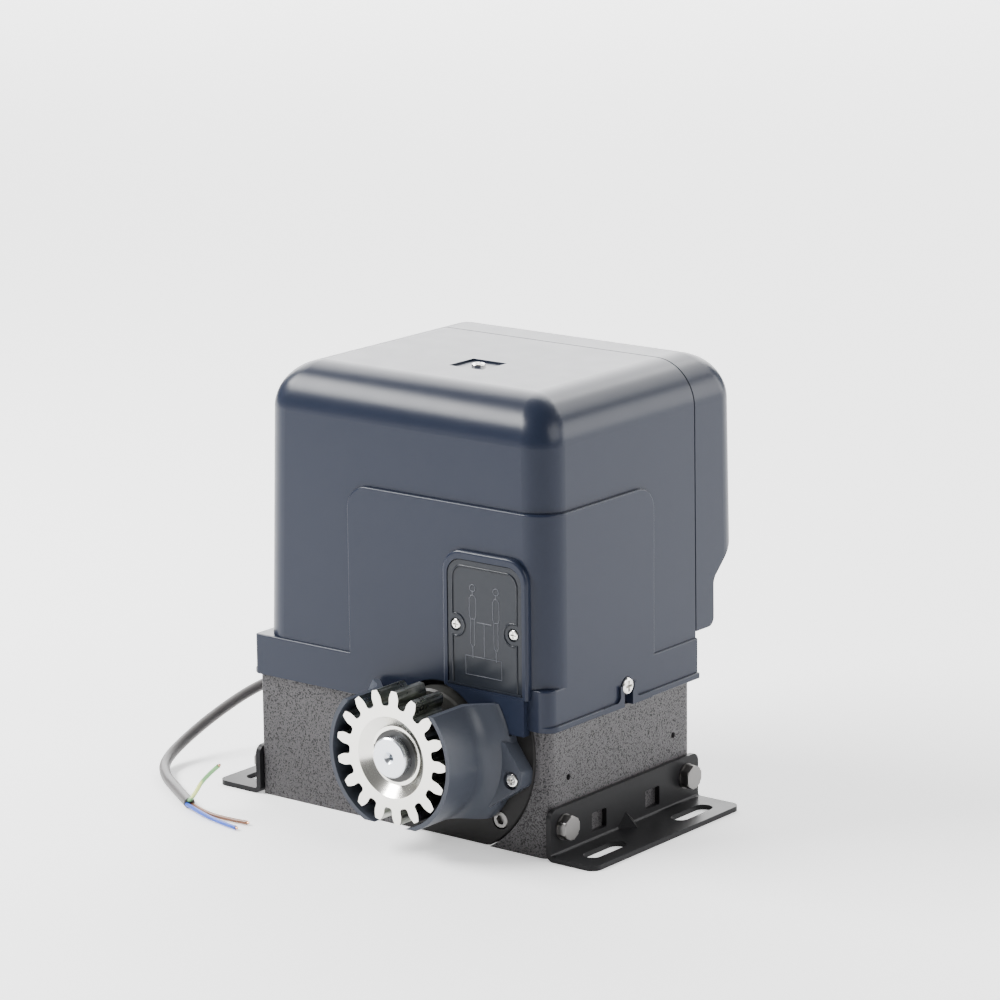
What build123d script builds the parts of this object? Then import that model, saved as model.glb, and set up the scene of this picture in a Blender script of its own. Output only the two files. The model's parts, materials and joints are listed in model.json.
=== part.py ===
from build123d import *
from math import acos, cos, degrees, hypot, pi, radians, sin, tan
import os

# Sliding-gate operator: a vertical motor on a die-cast worm gearbox that turns a rack pinion.
# Millimetres, +Z up, origin at the centre of the base's bottom face, pinion facing -Y.

# --- driving dimensions ---------------------------------------------------------------
base_half_x = 103.2
base_half_y = 67.0
base_shoulder_z = 72.0
base_rim_z = 92.0
rim_half_x = 100.6
rim_half_y = 64.2
rim_corner_radius = 14.6
base_wall = 5.0
base_corner_r = 6.0
front_left_r = 2.0

shaft_x = 29.8
shaft_z = 56.5
motor_x = -20.2
motor_y = -12.0
motor_flange_z = 114.0
motor_screw_ring = 47.4

shroud_left_x = -102.4
shroud_right_x = 104.2
shroud_front_y = -67.8
shroud_back_y = 116.8
shroud_top_z = 254.0
shroud_corner_r = 17.0
shroud_top_r = 26.0
shroud_draft = 0.5
left_draft = 1.6
back_draft = 1.1
cover_wall = 3.0
seam_y = 70.0
seam_gap = 0.9
skirt_half_x = 105.2
skirt_front_y = -69.0
skirt_top_z = 95.5

pinion_module = 4.0
pinion_teeth = 17
pinion_width = 25.0
pinion_face_y = -112.4
pinion_phase = 106.6
shaft_r = 12.5

wheel_teeth = 30
worm_module = 2.5
worm_pitch_r = 12.5
wheel_face = 18.0
worm_backlash = 0.4

bracket_thick = 3.0
bracket_height = 28.7
bracket_reach = 32.8
bracket_half_y = 69.5
slot_x = 122.0
slot_y = 41.0
slot_length = 33.0
slot_width = 10.5
bolt_y = 57.5
bolt_z = 17.5

guard_outer_r = 42.3
guard_inner_r = 39.8
guard_front_y = -114.0
guard_step_y = -77.0
guard_top_z = 85.0
guard_bottom_z = 18.2

gland_y = 29.0
gland_z = 45.5
gland_tip_x = -121.0
cord_dia = 6.4
wire_dia = 2.4

os.makedirs("parts", exist_ok=True)

shaft_axis = Axis((shaft_x, 0, shaft_z), (0, 1, 0))
motor_axis = Axis((motor_x, motor_y, 0), (0, 0, 1))
# local x is Y and local y is the distance from the output shaft's axis
shaft_section = Plane(origin=(shaft_x, 0, shaft_z), x_dir=(0, 1, 0), z_dir=(1, 0, 0))
# local x is the distance from the motor's axis and local y is Z
motor_section = Plane(origin=(motor_x, motor_y, 0), x_dir=(1, 0, 0), z_dir=(0, -1, 0))


def front(y, x=0.0, z=0.0):
    """A plane that faces -Y: local x is X, local y is Z, and it extrudes towards -Y."""
    return Plane(origin=(x, y, z), x_dir=(1, 0, 0), z_dir=(0, -1, 0))


def back(y, x=0.0, z=0.0):
    """A plane that faces +Y: local x is -X, local y is Z, and it extrudes towards +Y."""
    return Plane(origin=(x, y, z), x_dir=(-1, 0, 0), z_dir=(0, 1, 0))


def side(x, y=0.0, z=0.0, sign=1):
    """A plane that faces +X (or -X): local y is Z, and it extrudes outwards."""
    return Plane(origin=(x, y, z), x_dir=(0, sign, 0), z_dir=(sign, 0, 0))


def keep(piece, name):
    piece.label = name
    export_step(piece, f"parts/{name}.step")


def turned(points, plane, axis):
    """A solid of revolution from a closed outline of (along, radius) or (radius, along) points."""
    with BuildPart() as body:
        with BuildSketch(plane):
            with BuildLine():
                Polyline(*points, close=True)
            make_face()
        revolve(axis=axis)
    return body.part


def on_shaft(points):
    return turned(points, shaft_section, shaft_axis)


def block(low, high):
    """A box from one corner to the opposite one."""
    with BuildPart() as body:
        middle = [(a + b) / 2 for a, b in zip(low, high)]
        with Locations(tuple(middle)):
            Box(*[b - a for a, b in zip(low, high)])
    return body.part


def rod(plane, radius, length, inner=0.0):
    """A round bar or tube standing on a plane."""
    with BuildPart() as body:
        with BuildSketch(plane):
            Circle(radius)
            if inner > 0:
                Circle(inner, mode=Mode.SUBTRACT)
        extrude(amount=length)
    return body.part


def rounded_box(x_low, x_high, y_low, y_high, z_low, z_high, corner, front_left=None):
    """An upright box with rounded vertical corners; the front left one can be tighter."""
    with BuildPart() as body:
        with BuildSketch(Plane.XY.offset(z_low)):
            with Locations(((x_low + x_high) / 2, (y_low + y_high) / 2)):
                RectangleRounded(x_high - x_low, y_high - y_low, corner)
            if front_left:
                with Locations((x_low + 2 * corner, y_low + 2 * corner)):
                    RectangleRounded(4 * corner, 4 * corner, front_left)
        extrude(amount=z_high - z_low)
    return body.part


# --- base casting ---------------------------------------------------------------------
barrel_r = 52.0
barrel_bore_r = 46.0
pad_r = 70.0
plate_r = 64.4
plate_seat_y = -57.0
spigot_back_y = -50.0
barrel_back_y = 30.0
rear_seat_y = 14.0
rear_bearing_r = 23.5
tunnel_r = 23.0
tunnel_bore_r = 17.5
motor_seat_r = 23.5
motor_seat_z = 97.0
motor_bearing_z = 8.0
flange_screw_r = 56.3
corner_screw_angles = (45, 135, 225, 315)
plate_screw_x = 60.0
plate_screw_z = 80.0
ear_screws = [(85.0, 44.5), (2 * shaft_x - 85.0, 44.5)]
cover_screw_y = 2.4
cover_screw_z = 83.2
relief_y = -64.2


def around_shaft(radius, angle):
    """The (x, z) of a point round the output shaft."""
    return (shaft_x + radius * cos(radians(angle)), shaft_z + radius * sin(radians(angle)))


rim_form = rounded_box(-rim_half_x, rim_half_x, -rim_half_y, rim_half_y, 0, 130, rim_corner_radius)
with BuildPart() as pad:
    with BuildSketch(front(spigot_back_y, shaft_x, shaft_z)):
        Circle(pad_r)
    extrude(amount=spigot_back_y - relief_y)
    add(rim_form, mode=Mode.INTERSECT)
with BuildPart() as rim_clearance:
    add(block((-150, -75, base_shoulder_z - 0.6), (150, -50, 130)))
    add(rim_form, mode=Mode.SUBTRACT)

with BuildPart() as base:
    add(
        rounded_box(
            -base_half_x,
            base_half_x,
            -base_half_y,
            base_half_y,
            0,
            base_shoulder_z,
            base_corner_r,
            front_left_r,
        )
    )
    with BuildSketch(Plane.XY.offset(base_shoulder_z)):
        RectangleRounded(2 * rim_half_x, 2 * rim_half_y, rim_corner_radius)
    extrude(amount=base_rim_z - base_shoulder_z)
    with BuildSketch(Plane.XY.offset(4)):
        RectangleRounded(
            2 * (rim_half_x - base_wall),
            2 * (rim_half_y - base_wall),
            rim_corner_radius - base_wall,
        )
    extrude(amount=base_rim_z, mode=Mode.SUBTRACT)
    # gearbox barrel with the pad that takes the output flange
    with BuildSketch(front(barrel_back_y, shaft_x, shaft_z)):
        Circle(barrel_r)
    extrude(amount=barrel_back_y - plate_seat_y)
    add(pad.part)
    # worm tunnel and the round seat of the motor
    with BuildSketch(Plane.XY.offset(0)):
        with Locations((motor_x, motor_y)):
            Circle(tunnel_r)
    extrude(amount=motor_flange_z)
    with BuildSketch(Plane.XY.offset(88)):
        with Locations((motor_x, motor_y)):
            Circle(31)
    extrude(amount=motor_flange_z - 88)
    with BuildSketch(Plane.XY.offset(motor_flange_z - 7)):
        with Locations((motor_x, motor_y)):
            Circle(50)
    extrude(amount=7)
    with BuildSketch(Plane.XY.offset(motor_flange_z)):
        with Locations((motor_x, motor_y)):
            Circle(51)
    extrude(amount=20, mode=Mode.SUBTRACT)
    # the wall is thicker round the mounting bolts
    for sx in (-1, 1):
        for sy in (-1, 1):
            with BuildSketch(side(sx * (base_half_x - 16), sy * bolt_y, bolt_z, sx)):
                Circle(9.5)
            extrude(amount=14)
    # bore for the wheel, seats of the bearings and of the output flange
    with BuildSketch(front(rear_seat_y, shaft_x, shaft_z)):
        Circle(barrel_bore_r)
    extrude(amount=rear_seat_y + 80, mode=Mode.SUBTRACT)
    with BuildSketch(front(rear_seat_y + 12, shaft_x, shaft_z)):
        Circle(rear_bearing_r)
    extrude(amount=20, mode=Mode.SUBTRACT)
    with BuildSketch(front(plate_seat_y, shaft_x, shaft_z)):
        Circle(plate_r + 0.6)
    extrude(amount=20, mode=Mode.SUBTRACT)
    with BuildSketch(Plane.XY.offset(motor_bearing_z)):
        with Locations((motor_x, motor_y)):
            Circle(tunnel_bore_r)
    extrude(amount=150, mode=Mode.SUBTRACT)
    with BuildSketch(Plane.XY.offset(motor_seat_z)):
        with Locations((motor_x, motor_y)):
            Circle(motor_seat_r)
    extrude(amount=30, mode=Mode.SUBTRACT)
    # tapped holes: output flange, gear guard, mounting brackets, cover and motor
    for angle in corner_screw_angles:
        x, z = around_shaft(flange_screw_r, angle)
        with BuildSketch(front(-50, x, z)):
            Circle(3.0)
        extrude(amount=20, mode=Mode.SUBTRACT)
    for x, z in ear_screws:
        with BuildSketch(front(-50, x, z)):
            Circle(2.5)
        extrude(amount=20, mode=Mode.SUBTRACT)
    for sx in (-1, 1):
        for sy in (-1, 1):
            with BuildSketch(side(sx * (base_half_x - 14), sy * bolt_y, bolt_z, sx)):
                Circle(4.0)
            extrude(amount=20, mode=Mode.SUBTRACT)
            with BuildSketch(side(sx * (base_half_x - 4), sy * 49, 43, sx)):
                Circle(1.8)
            extrude(amount=10, mode=Mode.SUBTRACT)
        with BuildSketch(side(sx * 90, cover_screw_y, cover_screw_z, sx)):
            Circle(2.0)
        extrude(amount=20, mode=Mode.SUBTRACT)
        with BuildSketch(back(40, sx * plate_screw_x, plate_screw_z)):
            Circle(2.15)
        extrude(amount=40, mode=Mode.SUBTRACT)
    with BuildSketch(side(-90, gland_y, gland_z, -1)):
        Circle(8.0)
    extrude(amount=20, mode=Mode.SUBTRACT)
    with BuildSketch(Plane.XY.offset(motor_flange_z - 12)):
        with Locations((motor_x, motor_y)):
            with PolarLocations(motor_screw_ring, 4, start_angle=45):
                Circle(2.0)
    extrude(amount=20, mode=Mode.SUBTRACT)
keep(base.part, "base_housing")

# --- output flange with its hub, seal and cap screws ----------------------------------
hub_front_y = -77.0
hub_r = 30.5
front_bearing_r = 26.0
front_bearing_y = -69.0
front_bearing_w = 15.0
seal_r = 21.0
plate_front_y = -67.0



def screw_seat_y(z):
    """The cap screws behind the cover sit deeper than the ones in the open."""
    return -60.0 if z > base_shoulder_z else -62.8


with BuildPart() as flange:
    with BuildSketch(front(plate_seat_y - 0.1, shaft_x, shaft_z)):
        Circle(plate_r)
        with Locations((0, 200 - shaft_z + 0.6)):
            Rectangle(400, 400, mode=Mode.INTERSECT)
    extrude(amount=plate_seat_y - plate_front_y)
    chamfer(flange.faces().sort_by(Axis.Y)[0].edges().filter_by(GeomType.CIRCLE), 1.0)
    # the part of the plate behind the cover is thinner
    add(rim_clearance.part, mode=Mode.SUBTRACT)
    with BuildSketch(front(spigot_back_y, shaft_x, shaft_z)):
        Circle(barrel_bore_r - 0.05)
    extrude(amount=spigot_back_y - plate_seat_y + 1)
    with BuildSketch(front(plate_seat_y, shaft_x, shaft_z)):
        Circle(hub_r)
    extrude(amount=plate_seat_y - hub_front_y)
    chamfer(flange.faces().sort_by(Axis.Y)[0].edges(), 1.2)
    with BuildSketch(front(spigot_back_y, shaft_x, shaft_z)):
        Circle(front_bearing_r - 3)
    extrude(amount=60, mode=Mode.SUBTRACT)
    with BuildSketch(front(spigot_back_y, shaft_x, shaft_z)):
        Circle(front_bearing_r)
    extrude(amount=spigot_back_y - front_bearing_y, mode=Mode.SUBTRACT)
    for angle in corner_screw_angles:
        x, z = around_shaft(flange_screw_r, angle)
        with BuildSketch(front(-40, x, z)):
            Circle(3.2)
        extrude(amount=60, mode=Mode.SUBTRACT)
        with BuildSketch(front(screw_seat_y(z), x, z)):
            Circle(5.4)
        extrude(amount=10, mode=Mode.SUBTRACT)
    for x, z in ear_screws:
        with BuildSketch(front(-40, x, z)):
            Circle(2.6)
        extrude(amount=60, mode=Mode.SUBTRACT)
keep(flange.part, "output_flange")


def cap_screw(head_r, head_h, shank_r, length, socket):
    """A socket-head cap screw: head above local z = 0, shank below it."""
    with BuildPart() as screw:
        with BuildSketch():
            Circle(head_r)
        extrude(amount=head_h)
        chamfer(screw.faces().sort_by(Axis.Z)[-1].edges(), 0.5)
        with BuildSketch(Plane.XY.offset(head_h)):
            RegularPolygon(socket, 6, major_radius=False)
        extrude(amount=-head_h * 0.6, mode=Mode.SUBTRACT)
        with BuildSketch():
            Circle(shank_r)
        extrude(amount=-length)
    return screw.part


def cross_screw(head_r, head_h, shank_r, length):
    """A cross-recessed pan-head screw: head above local z = 0, shank below it."""
    with BuildPart() as screw:
        with BuildSketch():
            Circle(head_r)
        extrude(amount=head_h)
        fillet(screw.faces().sort_by(Axis.Z)[-1].edges(), head_h * 0.55)
        with BuildSketch(Plane.XY.offset(head_h)):
            Rectangle(head_r * 1.25, head_r * 0.3)
            Rectangle(head_r * 0.3, head_r * 1.25)
        extrude(amount=-head_h * 0.8, mode=Mode.SUBTRACT)
        with BuildSketch():
            Circle(shank_r)
        extrude(amount=-length)
    return screw.part


def hex_bolt(across_flats, head_h, shank_r, length):
    """A hexagon-head bolt: head above local z = 0, shank below it."""
    with BuildPart() as bolt:
        with BuildSketch():
            RegularPolygon(across_flats / 2, 6, major_radius=False, rotation=30)
        extrude(amount=head_h)
        with BuildSketch():
            Circle(across_flats / 2 + 0.55)
        extrude(amount=head_h, mode=Mode.INTERSECT)
        chamfer(bolt.faces().sort_by(Axis.Z)[-1].edges().filter_by(GeomType.CIRCLE), 0.6)
        with BuildSketch():
            Circle(shank_r)
        extrude(amount=-length)
    return bolt.part


def placed(piece, planes):
    """Copies of a piece, one on each plane, as separate solids of one node."""
    return Compound(children=[plane * piece for plane in planes])


m6_cap = cap_screw(5.0, 4.0, 2.95, 8, 2.5)
flange_planes = []
for angle in corner_screw_angles:
    x, z = around_shaft(flange_screw_r, angle)
    flange_planes.append(front(screw_seat_y(z), x, z))
keep(placed(m6_cap, flange_planes), "flange_screws")

keep(
    on_shaft([(-77.4, 12.55), (-77.4, 22.9), (-69.05, 22.9), (-69.05, 12.55)]),
    "shaft_seal",
)


def ring(y0, width, r_in, r_out, groove_r, ball_r):
    """A bearing ring about the output shaft's axis, with the groove that its balls run in."""
    with BuildPart() as body:
        with BuildSketch(shaft_section):
            with BuildLine():
                Polyline((y0, r_in), (y0 + width, r_in), (y0 + width, r_out), (y0, r_out), close=True)
            make_face()
            with Locations((y0 + width / 2, groove_r)):
                Circle(ball_r, mode=Mode.SUBTRACT)
        revolve(axis=shaft_axis)
    return body.part


def motor_ring(z0, width, r_in, r_out, groove_r, ball_r):
    """A bearing ring about the motor's axis, with the groove that its balls run in."""
    with BuildPart() as body:
        with BuildSketch(motor_section):
            with BuildLine():
                Polyline((r_in, z0), (r_in, z0 + width), (r_out, z0 + width), (r_out, z0), close=True)
            make_face()
            with Locations((groove_r, z0 + width / 2)):
                Circle(ball_r, mode=Mode.SUBTRACT)
        revolve(axis=motor_axis)
    return body.part


# (start along the axis, width, bore radius, outer radius, ball radius, balls)
shaft_bearings = [
    (front_bearing_y, front_bearing_w, shaft_r, front_bearing_r, 3.97, 9),
    (rear_seat_y, 12.0, shaft_r, rear_bearing_r, 3.2, 10),
]
motor_bearings = [
    (motor_bearing_z, 11.0, 7.5, tunnel_bore_r, 3.0, 8),
    (motor_seat_z, 14.0, 10.0, motor_seat_r, 3.97, 8),
    (205.0, 11.0, 7.5, 17.5, 3.0, 8),
]
groove_gap = 0.06


def ball_set(bearings, spots):
    """The balls of all the bearings; spots gives a ball's place from the bearing and its angle."""
    balls = []
    for start, width, r_in, r_out, ball_r, count in bearings:
        for number in range(count):
            angle = radians(360 * number / count)
            centre = spots(start + width / 2, (r_in + r_out) / 2, angle)
            balls.append(Pos(*centre) * Sphere(ball_r))
    return Compound(children=balls)


def split_rings(bearings, make_ring):
    """The outer rings and the inner rings of the bearings, as two nodes' solids."""
    outers = []
    inners = []
    for start, width, r_in, r_out, ball_r, _ in bearings:
        middle_r = (r_in + r_out) / 2
        land = ball_r * 0.45
        outers.append(make_ring(start, width, middle_r + land, r_out, middle_r, ball_r + groove_gap))
        inners.append(make_ring(start, width, r_in, middle_r - land, middle_r, ball_r + groove_gap))
    return Compound(children=outers), Compound(children=inners)


outer_rings, inner_rings = split_rings(shaft_bearings, ring)
keep(outer_rings, "shaft_bearing_outers")
keep(inner_rings, "shaft_bearing_inners")
keep(
    ball_set(shaft_bearings, lambda y, r, a: (shaft_x + r * cos(a), y, shaft_z + r * sin(a))),
    "shaft_bearing_balls",
)
outer_rings, inner_rings = split_rings(motor_bearings, motor_ring)
keep(outer_rings, "motor_bearing_outers")
keep(inner_rings, "motor_bearing_inners")
keep(
    ball_set(motor_bearings, lambda z, r, a: (motor_x + r * cos(a), motor_y + r * sin(a), z)),
    "motor_bearing_balls",
)

# --- output shaft, pinion and worm wheel ----------------------------------------------
pinion_back_y = pinion_face_y + pinion_width
clip_y = pinion_face_y + 4.6
key_width = 8.0
key_depth = 4.0
pinion_key_span = (pinion_back_y - 19.5, pinion_back_y - 1.0)
wheel_mid_y = motor_y
wheel_back_y = 8.0
wheel_front_y = -27.0
wheel_key_span = (-24.0, 4.0)

with BuildPart() as shaft:
    with BuildSketch(shaft_section):
        with BuildLine():
            Polyline(
                (-114.1, 0),
                (-114.1, 10.7),
                (-113.4, 11.4),
                (clip_y - 1.2, 11.4),
                (clip_y - 1.2, 11.1),
                (clip_y, 11.1),
                (clip_y, shaft_r),
                (25.5, shaft_r),
                (26.0, 12.0),
                (26.0, 0),
                close=True,
            )
        make_face()
    revolve(axis=shaft_axis)
    # centre-drill mark
    with BuildSketch(shaft_section):
        with BuildLine():
            Polyline((-114.2, 0), (-114.2, 3.4), (-112.0, 1.4), (-107.0, 1.4), (-106.2, 0), close=True)
        make_face()
    revolve(axis=shaft_axis, mode=Mode.SUBTRACT)
    for low, high in (pinion_key_span, wheel_key_span):
        with BuildSketch(side(shaft_x - shaft_r + key_depth, (low + high) / 2, shaft_z, -1)):
            RectangleRounded(high - low, key_width, key_width / 2 - 0.01)
        extrude(amount=10, mode=Mode.SUBTRACT)
keep(shaft.part, "output_shaft")


def feather_key(span):
    with BuildPart() as body:
        with BuildSketch(side(shaft_x - shaft_r + key_depth, (span[0] + span[1]) / 2, shaft_z, -1)):
            RectangleRounded(span[1] - span[0], key_width, key_width / 2 - 0.01)
        extrude(amount=7.0)
    return body.part


keep(feather_key(pinion_key_span), "pinion_key")
keep(feather_key(wheel_key_span), "wheel_key")

pressure = radians(20)
pitch_r = pinion_module * pinion_teeth / 2
pinion_pressure = radians(14.5)
base_r = pitch_r * cos(pinion_pressure)
tip_r = pitch_r + pinion_module
root_r = pitch_r - 1.25 * pinion_module
backlash = 0.05


def involute_point(radius, side_sign):
    """A point on a tooth flank, for a tooth that points along local +X."""
    at_radius = acos(base_r / radius)
    half_base = pi / (2 * pinion_teeth) + tan(pinion_pressure) - pinion_pressure - backlash / (2 * pitch_r)
    angle = side_sign * (half_base - (tan(at_radius) - at_radius))
    return (radius * cos(angle), radius * sin(angle))


flank_radii = [base_r + (tip_r - base_r) * step / 5 for step in range(6)]
upper_flank = [involute_point(radius, 1) for radius in flank_radii]
lower_flank = [involute_point(radius, -1) for radius in reversed(flank_radii)]
foot = (root_r - 2) / base_r
foot_upper = (upper_flank[0][0] * foot, upper_flank[0][1] * foot)
foot_lower = (lower_flank[-1][0] * foot, lower_flank[-1][1] * foot)

with BuildPart() as pinion:
    with BuildSketch(front(pinion_back_y, shaft_x, shaft_z)) as pinion_outline:
        Circle(root_r)
        with BuildSketch(mode=Mode.PRIVATE) as tooth:
            with BuildLine():
                Line(foot_upper, upper_flank[0])
                Spline(*upper_flank)
                ThreePointArc(upper_flank[-1], (tip_r, 0), lower_flank[0])
                Spline(*lower_flank)
                Line(lower_flank[-1], foot_lower)
                Line(foot_lower, foot_upper)
            make_face()
        with PolarLocations(0, pinion_teeth, start_angle=pinion_phase):
            add(tooth.sketch)
        corners = [v for v in pinion_outline.vertices() if abs(hypot(v.X, v.Y) - root_r) < 0.05]
        fillet(corners, 2.0)
    extrude(amount=pinion_width)
    # bore, keyway and the turned dish of the front face
    with BuildSketch(front(pinion_back_y + 1, shaft_x, shaft_z)):
        Circle(shaft_r)
    extrude(amount=40, mode=Mode.SUBTRACT)
    with BuildSketch(shaft_section):
        with BuildLine():
            Polyline(
                (pinion_face_y - 1, 5),
                (pinion_face_y - 1, 24.4),
                (clip_y, 16.75),
                (clip_y, 5),
                close=True,
            )
        make_face()
    revolve(axis=shaft_axis, mode=Mode.SUBTRACT)
    with BuildSketch(side(shaft_x, (pinion_key_span[0] + pinion_key_span[1]) / 2, shaft_z, -1)):
        Rectangle(pinion_key_span[1] - pinion_key_span[0] + 40, key_width)
    extrude(amount=shaft_r - key_depth + 7.2, mode=Mode.SUBTRACT)
    with BuildSketch(shaft_section):
        with BuildLine():
            Polyline((pinion_back_y, 30), (pinion_back_y, 40), (pinion_back_y - 1.5, 40), close=True)
        make_face()
    revolve(axis=shaft_axis, mode=Mode.SUBTRACT)
keep(pinion.part, "output_pinion")

with BuildPart() as circlip:
    with BuildSketch(front(clip_y - 0.05, shaft_x, shaft_z)):
        Circle(14.6)
        Circle(11.15, mode=Mode.SUBTRACT)
        with Locations((-13, -6)):
            Rectangle(6, 2.4, rotation=25, mode=Mode.SUBTRACT)
    extrude(amount=1.1)
keep(circlip.part, "pinion_circlip")

wheel_pitch_r = worm_module * wheel_teeth / 2
wheel_tip_r = wheel_pitch_r + worm_module - 0.3
wheel_root_r = wheel_pitch_r - 1.25 * worm_module
worm_lead = pi * worm_module
half_pitch_width = worm_lead / 4 - worm_backlash / 2
wheel_twist = degrees(worm_lead / (2 * pi * worm_pitch_r) / wheel_pitch_r)


def wheel_outline(plane, turn):
    """One cross-section of the toothed rim, turned about the shaft's axis."""
    points = []
    for number in range(wheel_teeth):
        centre = radians(180 / wheel_teeth + 360 * number / wheel_teeth + turn)
        for radius, half in (
            (wheel_root_r, -half_pitch_width - (wheel_pitch_r - wheel_root_r) * tan(pressure)),
            (wheel_tip_r, -half_pitch_width + (wheel_tip_r - wheel_pitch_r) * tan(pressure)),
            (wheel_tip_r, half_pitch_width - (wheel_tip_r - wheel_pitch_r) * tan(pressure)),
            (wheel_root_r, half_pitch_width + (wheel_pitch_r - wheel_root_r) * tan(pressure)),
        ):
            angle = centre + half / radius
            points.append((radius * cos(angle), radius * sin(angle)))
    with BuildSketch(plane) as outline:
        with BuildLine():
            Polyline(*points, close=True)
        make_face()
    return outline.sketch


with BuildPart() as wheel:
    half_face = wheel_face / 2
    back_plane = front(wheel_mid_y + half_face, shaft_x, shaft_z)
    front_plane = front(wheel_mid_y - half_face, shaft_x, shaft_z)
    add(wheel_outline(back_plane, -half_face * wheel_twist))
    add(wheel_outline(front_plane, half_face * wheel_twist))
    loft(ruled=True)
    with BuildSketch(shaft_section):
        with BuildLine():
            Polyline(
                (wheel_front_y, shaft_r),
                (wheel_front_y, 19),
                (wheel_mid_y - 3, 21),
                (wheel_mid_y - 3, 30),
                (wheel_mid_y + 3, 30),
                (wheel_mid_y + 3, 21),
                (wheel_back_y, 19),
                (wheel_back_y, shaft_r),
                close=True,
            )
        make_face()
    revolve(axis=shaft_axis)
    for low, high in ((-half_face - 1, -3), (3, half_face + 1)):
        start = wheel_mid_y + low
        end = wheel_mid_y + high
        with BuildSketch(shaft_section):
            with BuildLine():
                Polyline((start, 20.5), (end, 21), (end, 29), (start, 31), close=True)
            make_face()
        revolve(axis=shaft_axis, mode=Mode.SUBTRACT)
    with BuildSketch(front(wheel_back_y + 1, shaft_x, shaft_z)):
        Circle(shaft_r)
    extrude(amount=60, mode=Mode.SUBTRACT)
    with BuildSketch(side(shaft_x, 0, shaft_z, -1)):
        Rectangle(100, key_width)
    extrude(amount=shaft_r - key_depth + 7.2, mode=Mode.SUBTRACT)
keep(wheel.part, "worm_wheel")

# --- motor ----------------------------------------------------------------------------
worm_root_r = worm_pitch_r - 1.2 * worm_module
worm_tip_r = worm_pitch_r + worm_module - 0.3
worm_turns = 6
worm_start_z = shaft_z - worm_lead * worm_turns / 2
thread_sink = 0.8

with BuildPart() as motor_shaft:
    with BuildSketch(motor_section):
        with BuildLine():
            Polyline(
                (0, 8.5),
                (7, 8.5),
                (7.5, 9),
                (7.5, 19),
                (worm_root_r, 21),
                (worm_root_r, 92),
                (12.5, 94),
                (12.5, motor_seat_z),
                (10, motor_seat_z),
                (10, 127),
                (9, 128),
                (9, 188),
                (7.5, 190),
                (7.5, 216.5),
                (7, 217),
                (0, 217),
                close=True,
            )
        make_face()
    revolve(axis=motor_axis)
    with BuildLine() as thread_path:
        Helix(worm_lead, worm_lead * worm_turns, worm_pitch_r, center=(motor_x, motor_y, worm_start_z))
    thread_plane = Plane(origin=thread_path.line @ 0, x_dir=(1, 0, 0), z_dir=thread_path.line % 0)
    low_r = worm_root_r - thread_sink - worm_pitch_r
    high_r = worm_tip_r - worm_pitch_r
    with BuildSketch(thread_plane):
        with BuildLine():
            Polyline(
                (low_r, -half_pitch_width + low_r * tan(pressure)),
                (high_r, -half_pitch_width + high_r * tan(pressure)),
                (high_r, half_pitch_width - high_r * tan(pressure)),
                (low_r, half_pitch_width - low_r * tan(pressure)),
                close=True,
            )
        make_face()
    sweep(path=thread_path.line, is_frenet=True)
keep(motor_shaft.part, "motor_shaft")

motor_r = 50.0
stator_r = 45.0
rotor_r = 25.6
housing_top_z = 202.0
cap_top_z = 222.0
stator_z = (132.0, 180.0)

with BuildPart() as rotor:
    with BuildSketch(Plane.XY.offset(stator_z[0] - 2)):
        with Locations((motor_x, motor_y)):
            Circle(rotor_r)
    extrude(amount=stator_z[1] - stator_z[0] + 4)
    # end rings with cooling stubs
    for z in (stator_z[0] - 8, stator_z[1] + 2):
        with BuildSketch(Plane.XY.offset(z)):
            with Locations((motor_x, motor_y)):
                Circle(rotor_r - 1)
        extrude(amount=6)
        with BuildSketch(Plane.XY.offset(z)):
            with Locations((motor_x, motor_y)):
                Circle(rotor_r - 8)
        extrude(amount=6, mode=Mode.SUBTRACT)
    with BuildSketch(Plane.XY.offset(stator_z[0] - 10)):
        with Locations((motor_x, motor_y)):
            Circle(9.0)
    extrude(amount=100, mode=Mode.SUBTRACT)
keep(rotor.part, "rotor_core")

slot_count = 24
with BuildPart() as stator:
    with BuildSketch(Plane.XY.offset(stator_z[0])):
        with Locations((motor_x, motor_y)):
            Circle(stator_r)
            Circle(rotor_r + 0.4, mode=Mode.SUBTRACT)
            with PolarLocations(33.0, slot_count):
                SlotOverall(9.0, 4.2, mode=Mode.SUBTRACT)
    extrude(amount=stator_z[1] - stator_z[0])
keep(stator.part, "stator_core")

coil_points = [
    (28.4, 0.0),
    (28.4, 10.0),
    (30.0, 12.0),
    (36.5, 12.0),
    (38.0, 10.0),
    (38.0, 0.0),
]
with BuildPart() as windings:
    for start, sign in ((stator_z[0], -1), (stator_z[1], 1)):
        with BuildSketch(motor_section):
            with BuildLine():
                Polyline(*[(r, start + sign * h) for r, h in coil_points], close=True)
            make_face()
        revolve(axis=motor_axis)
    with BuildSketch(Plane.XY.offset(stator_z[0])):
        with Locations((motor_x, motor_y)):
            with PolarLocations(33.0, slot_count):
                SlotOverall(8.8, 4.0)
    extrude(amount=stator_z[1] - stator_z[0])
keep(windings.part, "stator_windings")

fin_count = 28
with BuildPart() as motor_housing:
    with BuildSketch(Plane.XY.offset(motor_flange_z)):
        with Locations((motor_x, motor_y)):
            Circle(stator_r + 2.5)
            with PolarLocations(stator_r + 2, fin_count):
                Rectangle(5.6, 2.0)
            with PolarLocations(motor_screw_ring, 4, start_angle=45):
                Circle(3.5)
            Circle(stator_r, mode=Mode.SUBTRACT)
            with PolarLocations(motor_screw_ring, 4, start_angle=45):
                Circle(2.2, mode=Mode.SUBTRACT)
    extrude(amount=housing_top_z - motor_flange_z)
keep(motor_housing.part, "motor_housing")

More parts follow.
